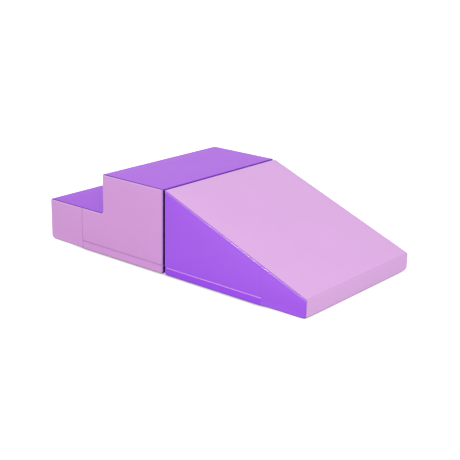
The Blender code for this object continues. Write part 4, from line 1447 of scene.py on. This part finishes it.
# %% Rows of stitches beside a zip
FROM_SLIT = 2.6 * MM
FROM_UPRIGHT = 5 * MM
ROUTE_STEP = 6 * MM
STITCH_LENGTH = 2.7 * MM
THREAD_RADIUS = 0.22 * MM


def zip_stitch_route(block, way):
    """Along the cover beside the slit, over the real height of the cloth there."""
    high = block.zip + way * (ZIP_SLIT / 2 + FROM_SLIT)
    half = WIDTH / 2
    reach = block.seam - FROM_UPRIGHT
    count = int(reach / ROUTE_STEP)
    xs = [reach - (reach - SIDE_RADIUS) * step / count for step in range(count + 1)]
    side_gap = {"upright": FAR_AWAY, "slit": FROM_SLIT}
    routes = []
    for side in (block.near, -block.near):
        routes.append([])
        for x in xs:
            place = Vector((x, side * half, high))
            gap = min(max(x, FROM_SLIT), FAR_AWAY)
            shift = cloth_shift(block, place, {"corner": FROM_SLIT + high, "rear": gap, **side_gap})[0]
            routes[-1].append(block.place @ (place + Vector((0.0, side * shift, 0.0))))
    return routes


print("rows above the step's zip:", len(zip_stitch_route(STEP, 1)))

# %% Stitching
for block in (STEP, RAMP):
    for way in (1, -1):
        stitching[block.name] += zip_stitch_route(block, way)
    points, edges = [], []
    for number, route in enumerate(stitching[block.name]):
        edges += [(a + len(points), b + len(points)) for a, b in chained(len(route), closed=number < 2)]
        points += route
    thread = PALE_THREAD if block is STEP else THREAD
    slot = "pink_lilac_cover" if block is STEP else "purple_cover"
    sizes = {"Pitch": STITCH_PITCH, "Length": STITCH_LENGTH, "Thread": THREAD_RADIUS}
    mesh = grown("stitching", points, edges, STITCHES, Material=thread, **sizes)
    finished(f"{block.name}_stitching", mesh, block.body, slot, thread)
    print(block.name, "stitching, faces:", len(mesh.polygons))

# %% [markdown]
# ## Camera
# The photograph was taken from the near side, past the ramp's end and a little above, with a
# fairly long lens: 79 mm on a 36 mm wide frame. A camera that is set by eye comes close, but
# leaves edges some pixels out, so place and turn come from a fit of this model's corners to the
# corners of the two blocks in the picture.

# %% Camera
camera = bpy.data.objects.new("camera", bpy.data.cameras.new("camera"))
bpy.context.scene.collection.objects.link(camera)
camera.data.lens = 79.36
camera.data.sensor_width = 36.0
camera.location = (2.26641, -2.71291, 1.22841)
camera.rotation_mode = "XYZ"
camera.rotation_euler = (radians(72.198), radians(-1.1303), radians(39.8503))
bpy.context.scene.camera = camera
print("angle of view, degrees:", round(camera.data.angle * 180 / pi, 1))

# %% [markdown]
# ## Floor
# The set stands on a white sweep, which has to look white but still hold the shadow under the
# blocks. To the camera it glows in part and is a card for the rest, and both add up to white
# where nothing shades it. The contact shade is the ambient occlusion close to the blocks, and it
# fades at their free ends, where the curled foot lets light in. A plain white floor would be
# simpler, but it would turn grey wherever the light gets weaker.

# %% Paper sweep
# How near the blocks the contact shade begins, how open the sky is there where the shade is
# full and where it has gone, and how much light it takes away
CONTACT = 26 * MM
OPEN_FROM, OPEN_TO = 0.5, 0.95
CONTACT_SHADE = 0.56
# From where to where the shade fades along the set, and what is left of it
FREE_FROM, FREE_TO = 0.40, 0.50
FREE_SHARE = 0.25
# The card's share of what the camera sees, how white it is, and how strongly the rest glows
CARD_SHARE = 0.35
CARD_WHITE = 1.5
GLOW = 1.45


def seen_rays(tree):
    """One for the rays that show a thing itself, in the camera, a reflection or through another."""
    paths = add_node(tree, "ShaderNodeLightPath").outputs
    direct = {0: paths["Is Camera Ray"], 1: paths["Is Glossy Ray"]}
    seen = add_node(tree, "ShaderNodeMath", direct, operation="MAXIMUM").outputs[0]
    through = {0: seen, 1: paths["Is Transmission Ray"]}
    return add_node(tree, "ShaderNodeMath", through, operation="MAXIMUM").outputs[0]


def contact_light(tree):
    """One where nothing shades the floor, and less close to the blocks."""
    sky = {"Distance": CONTACT}
    open_sky = add_node(tree, "ShaderNodeAmbientOcclusion", sky, samples=16).outputs["AO"]
    closeness = add_node(
        tree, "ShaderNodeMapRange", {"Value": open_sky, 1: OPEN_FROM, 2: OPEN_TO, 3: CONTACT_SHADE, 4: 0.0}
    ).outputs[0]
    place = add_node(tree, "ShaderNodeNewGeometry").outputs["Position"]
    along = add_node(tree, "ShaderNodeSeparateXYZ", {0: place}).outputs["X"]
    from_middle = add_node(tree, "ShaderNodeMath", {0: along}, operation="ABSOLUTE").outputs[0]
    pressed = add_node(
        tree, "ShaderNodeMapRange", {"Value": from_middle, 1: FREE_FROM, 2: FREE_TO, 3: 1.0, 4: FREE_SHARE}
    ).outputs[0]
    dimmed = add_node(tree, "ShaderNodeMath", {0: closeness, 1: pressed}, operation="MULTIPLY").outputs[0]
    return add_node(tree, "ShaderNodeMath", {0: 1.0, 1: dimmed}, operation="SUBTRACT").outputs[0]


def white_floor():
    """To light it is a plain card, and to the camera white with a contact shade."""
    made, tree, shader = new_material("white paper sweep", Roughness=0.9)
    shader.inputs["Base Color"].default_value = linear("#D2D2D2")
    shader.inputs["Specular IOR Level"].default_value = 0.0
    clear = seen_rays(tree)
    light = contact_light(tree)
    white = (CARD_WHITE, CARD_WHITE, CARD_WHITE, 1.0)
    grey_card = add_node(tree, "ShaderNodeBsdfDiffuse", {"Color": white}).outputs[0]
    glow = add_node(tree, "ShaderNodeEmission", {"Color": WHITE, "Strength": GLOW}).outputs[0]
    card = add_node(tree, "ShaderNodeMixShader", {0: CARD_SHARE, 1: glow, 2: grey_card}).outputs[0]
    dark = add_node(tree, "ShaderNodeEmission", {"Color": BLACK, "Strength": 0.0}).outputs[0]
    shaded = add_node(tree, "ShaderNodeMixShader", {0: light, 1: dark, 2: card}).outputs[0]
    mixed = add_node(tree, "ShaderNodeMixShader", {0: clear, 1: shader.outputs[0], 2: shaded}).outputs[0]
    tree.links.new(mixed, tree.nodes["Material Output"].inputs["Surface"])
    return made


SWEEP = white_floor()
print("nodes of the sweep:", len(SWEEP.node_tree.nodes))

# %% Lay the floor
REACH = 12.0
# A hair under the blocks, so that the two never lie in one plane
FLOOR = -0.2 * MM
corners = ((-REACH, -REACH), (REACH, -REACH), (REACH, REACH), (-REACH, REACH))
floor_mesh = bpy.data.meshes.new("floor")
floor_mesh.from_pydata([(x, y, FLOOR) for x, y in corners], [], [(0, 1, 2, 3)])
floor_mesh.materials.append(SWEEP)
floor = bpy.data.objects.new("floor", floor_mesh)
bpy.context.scene.collection.objects.link(floor)
print("floor, m:", 2 * REACH, "each way")

# %% [markdown]
# ## World
# The studio gives soft light from all round. It is a plain white world of less than full
# strength, but the camera and the reflections see it at full white, like a white wall behind the
# set. A picture of a room could light the set too, but it would show in the covers' sheen, which
# is even in the photograph.

# %% World
AMBIENT = 0.70
world = bpy.data.worlds.new("soft studio")
bpy.context.scene.world = world
world.use_nodes = True
sky = world.node_tree
ambient = add_node(sky, "ShaderNodeBackground", {"Color": WHITE, "Strength": AMBIENT}).outputs[0]
wall = add_node(sky, "ShaderNodeBackground", {"Color": WHITE, "Strength": 1.0}).outputs[0]
mixed = add_node(sky, "ShaderNodeMixShader", {0: seen_rays(sky), 1: ambient, 2: wall}).outputs[0]
sky.links.new(mixed, sky.nodes["World Output"].inputs["Surface"])
print("nodes of the world:", len(sky.nodes))

# %% [markdown]
# ## Lamps
# A large soft lamp behind the camera gives the light its direction. It leaves no sheen. The
# sheen comes from a second, small lamp near the ramp's side, which lights nothing: it only draws
# the pale line where the stretched cloth turns over the rim. One lamp can't do both, because the
# highlight of so large a lamp would spread over the whole side.

# %% Lamps
def soft_lamp(name, place, aim, size, watts, spread, lights, shines):
    """A round area lamp that is turned to its aim, and says whether it lights and whether it shines."""
    data = bpy.data.lights.new(name, "AREA")
    data.shape = "DISK"
    data.size = size
    data.energy = watts
    data.spread = radians(spread)
    lamp = bpy.data.objects.new(name, data)
    bpy.context.scene.collection.objects.link(lamp)
    lamp.location = place
    throw = Vector(aim) - Vector(place)
    lamp.rotation_euler = throw.to_track_quat("-Z", "Y").to_euler()
    lamp.visible_camera = False
    lamp.visible_diffuse = lights
    lamp.visible_glossy = shines
    print(name, "at", round(throw.length, 2), "m, W:", watts)
    return lamp


soft_lamp("key lamp", (4.9, -5.6, 4.9), (0.0, 0.0, 0.1), 5.0, 322.0, 180, lights=True, shines=False)
edge_lamp = soft_lamp(
    "edge lamp", (0.09, -1.21, 0.71), (0.37, -0.31, 0.15), 0.19, 4.0, 70, lights=False, shines=True
)
# The faces on top don't take the edge lamp: seen from behind, they would glare with it
shined_on = bpy.data.collections.new("pieces that take the edge lamp")
for piece in bpy.context.scene.objects:
    if piece.type == "MESH" and "slope" not in piece.name and "tread" not in piece.name:
        shined_on.objects.link(piece)
edge_lamp.light_linking.receiver_collection = shined_on

# %% [markdown]
# ## Finish
# The settings keep colours as they are written.

# %% Finish
bpy.context.scene.view_settings.view_transform = "Standard"
